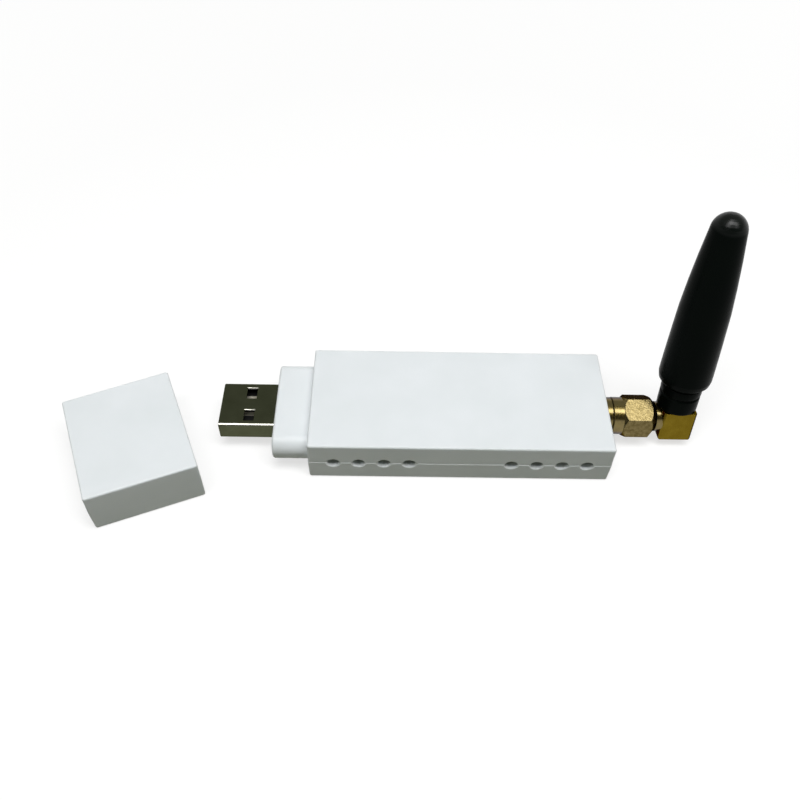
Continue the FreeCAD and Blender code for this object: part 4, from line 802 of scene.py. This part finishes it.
boot_leant = put(lathe_tree, "GeometryNodeTransform", {
    "Geometry": closed,
    "Rotation": put(lathe_tree, "ShaderNodeCombineXYZ",
                    {"X": math_node(lathe_tree, "MULTIPLY", lathe_in["Lean"], -1.0)}).outputs[0],
    "Translation": lathe_in["Foot"],
}).outputs[0]
end_recipe(lathe_tree, boot_leant, boot_rubber)
leaning_foot = ANTENNA_FOOT + Matrix.Rotation(-LEAN, 3, "X") @ Vector((0.0, 0.0, FOOT_HEIGHT * MM))
boot = make_from_recipe(lathe_tree, "rubber_boot", {
    "Facets": 144,
    "Rounding": 0.22 * MM,
    "Lean": LEAN,
    "Foot": leaning_foot,
}, start_mesh=outline_mesh)
turned_out = bmesh.new()
turned_out.from_mesh(boot.data)
bmesh.ops.recalc_face_normals(turned_out, faces=turned_out.faces)
turned_out.to_mesh(boot.data)
turned_out.free()
boot.data.shade_smooth()
BELLOWS_FOLD = math.radians(50.0)
boot.data.set_sharp_from_angle(angle=BELLOWS_FOLD)
fit(boot, "antenna", "boot_rubber", "antenna_boot")


# Cap
# White ABS like the housing, moulded hollow in one piece with draft towards its closed end. It
# slides over the plug and the neck, and here it lies beside them.
cap = smoothed_copy("cap", "slide_on_cap")
cap.data.materials.append(white_satin)
fit(cap, "housing", "white_shell", "cap")


# Table top
# A plain pale sheet that the stick and its cap lie on. It keeps their soft shadow, and away from
# them its own glow takes over from the lamps, so that it stays white to its edge.
TABLE_HALF = 4.0
TABLE_DROP = 0.02 * MM
GLOW_UNDER_STICK, GLOW_FAR_OFF = 0.68, 1.0
GLOW_GROWS_FROM, GLOW_GROWS_TO = 0.15, 0.8


def table_finish():
    material = bpy.data.materials.new("pale_table")
    material.use_nodes = True
    tree = material.node_tree
    tree.nodes.clear()
    matt = put(tree, "ShaderNodeBsdfDiffuse", {"Color": (0.145, 0.155, 0.1, 1.0)}).outputs[0]
    pale = put(tree, "ShaderNodeBsdfDiffuse", {"Color": (0.35, 0.35, 0.35, 1.0)}).outputs[0]
    place = put(tree, "ShaderNodeTexCoord").outputs["Object"]
    distance = put(tree, "ShaderNodeVectorMath", {0: place}, operation="LENGTH").outputs["Value"]
    strength = spread(tree, distance, GLOW_UNDER_STICK, GLOW_FAR_OFF,
                      start=GLOW_GROWS_FROM, end=GLOW_GROWS_TO)
    glow = put(tree, "ShaderNodeEmission", {"Color": (1.0, 1.0, 1.0, 1.0), "Strength": strength}).outputs[0]
    bright = put(tree, "ShaderNodeAddShader", {0: pale, 1: glow}).outputs[0]
    rays = put(tree, "ShaderNodeLightPath").outputs
    seen = math_node(tree, "MAXIMUM", rays["Is Camera Ray"], rays["Is Glossy Ray"])
    seen = math_node(tree, "MAXIMUM", seen, rays["Is Transmission Ray"])
    surface = put(tree, "ShaderNodeMixShader", {0: seen, 1: matt, 2: bright}).outputs[0]
    put(tree, "ShaderNodeOutputMaterial", {"Surface": surface})
    return material


table_mesh = bpy.data.meshes.new("table_top")
table_mesh.from_pydata([(-TABLE_HALF, -TABLE_HALF, 0), (TABLE_HALF, -TABLE_HALF, 0),
                        (TABLE_HALF, TABLE_HALF, 0), (-TABLE_HALF, TABLE_HALF, 0)], [], [(0, 1, 2, 3)])
table = bpy.data.objects.new("table_top", table_mesh)
bpy.context.scene.collection.objects.link(table)
table.location.z = -TABLE_DROP
table_mesh.materials.append(table_finish())


# Light
# Two soft strip lamps overhead, leaning a little towards the viewer, in a dim pale room. The camera
# sees the room as plain white; its darker ceiling only shows in reflections.
LAMP_DISTANCE = 0.6
LAMP_WIDTH = 0.2
LAMP_REACH = 0.45
LAMP_WATTS = 1.84
LAMP_LEAN = -0.15
for side, sideways in (("left", -0.17), ("right", 0.26)):
    lamp_data = bpy.data.lights.new("strip_lamp_" + side, "AREA")
    lamp_data.shape = "RECTANGLE"
    lamp_data.size = LAMP_WIDTH
    lamp_data.size_y = LAMP_REACH
    lamp_data.energy = LAMP_WATTS
    lamp = bpy.data.objects.new("strip_lamp_" + side, lamp_data)
    bpy.context.scene.collection.objects.link(lamp)
    lamp_aim = Vector((sideways, LAMP_LEAN, 1.0)).normalized()
    lamp.location = lamp_aim * LAMP_DISTANCE
    lamp.rotation_mode = "QUATERNION"
    lamp.rotation_quaternion = lamp_aim.to_track_quat("Z", "Y")

WHITE = (1.0, 1.0, 1.0, 1.0)
CEILING_BEFORE, CEILING_BEHIND = (0.09, 0.09, 0.08, 1.0), (0.45, 0.46, 0.43, 1.0)
FILL_BEFORE, FILL_BEHIND = (0.06, 0.063, 0.051, 1.0), (0.16, 0.163, 0.155, 1.0)
world = bpy.data.worlds.new("pale_room")
world.use_nodes = True
room_tree = world.node_tree
room_tree.nodes.clear()
direction = put(room_tree, "ShaderNodeTexCoord").outputs["Generated"]
direction_parts = put(room_tree, "ShaderNodeSeparateXYZ", {0: direction}).outputs
upward = spread(room_tree, direction_parts["Z"], low=1.0, high=0.0, start=0.26, end=0.45)
behind = spread(room_tree, direction_parts["Y"], low=0.0, high=1.0, start=-0.35, end=0.1)
ceiling = mix(room_tree, behind, CEILING_BEFORE, CEILING_BEHIND)
backdrop = mix(room_tree, upward, ceiling, WHITE)
room_rays = put(room_tree, "ShaderNodeLightPath").outputs
backdrop = mix(room_tree, room_rays["Is Camera Ray"], backdrop, WHITE)
room_seen = math_node(room_tree, "MAXIMUM", room_rays["Is Camera Ray"], room_rays["Is Glossy Ray"])
room_seen = math_node(room_tree, "MAXIMUM", room_seen, room_rays["Is Transmission Ray"])
fill = mix(room_tree, behind, FILL_BEFORE, FILL_BEHIND)
room_colour = mix(room_tree, room_seen, fill, backdrop)
room = put(room_tree, "ShaderNodeBackground", {"Color": room_colour, "Strength": 1.0}).outputs[0]
put(room_tree, "ShaderNodeOutputWorld", {"Surface": room})
bpy.context.scene.world = world


# Camera
# It looks down on the stick from the front, as the photograph does. Its focal length is in pixels of
# a picture 800 pixels wide.
PICTURE_PIXELS = 800
CAMERA_PLACE = Vector((-15.531, -114.113, 148.333)) * MM
PITCH = 0.8821
YAW = 0.0230
ROLL = 0.0324
FOCAL_PIXELS = 823.74
forward = Vector((math.sin(YAW) * math.cos(PITCH), math.cos(YAW) * math.cos(PITCH), -math.sin(PITCH)))
level_right = Vector((math.cos(YAW), -math.sin(YAW), 0.0))
level_up = level_right.cross(forward)
right = level_right * math.cos(ROLL) + level_up * math.sin(ROLL)
up = -level_right * math.sin(ROLL) + level_up * math.cos(ROLL)
camera_data = bpy.data.cameras.new("viewer")
camera_data.lens = FOCAL_PIXELS * camera_data.sensor_width / PICTURE_PIXELS
camera_data.dof.use_dof = False
camera_data.clip_start = 0.01
camera_data.clip_end = 20.0
camera = bpy.data.objects.new("viewer", camera_data)
bpy.context.scene.collection.objects.link(camera)
turned = Matrix((right, up, -forward)).transposed().to_4x4()
camera.matrix_world = Matrix.Translation(CAMERA_PLACE) @ turned
bpy.context.scene.camera = camera
bpy.context.scene.view_settings.view_transform = "Standard"
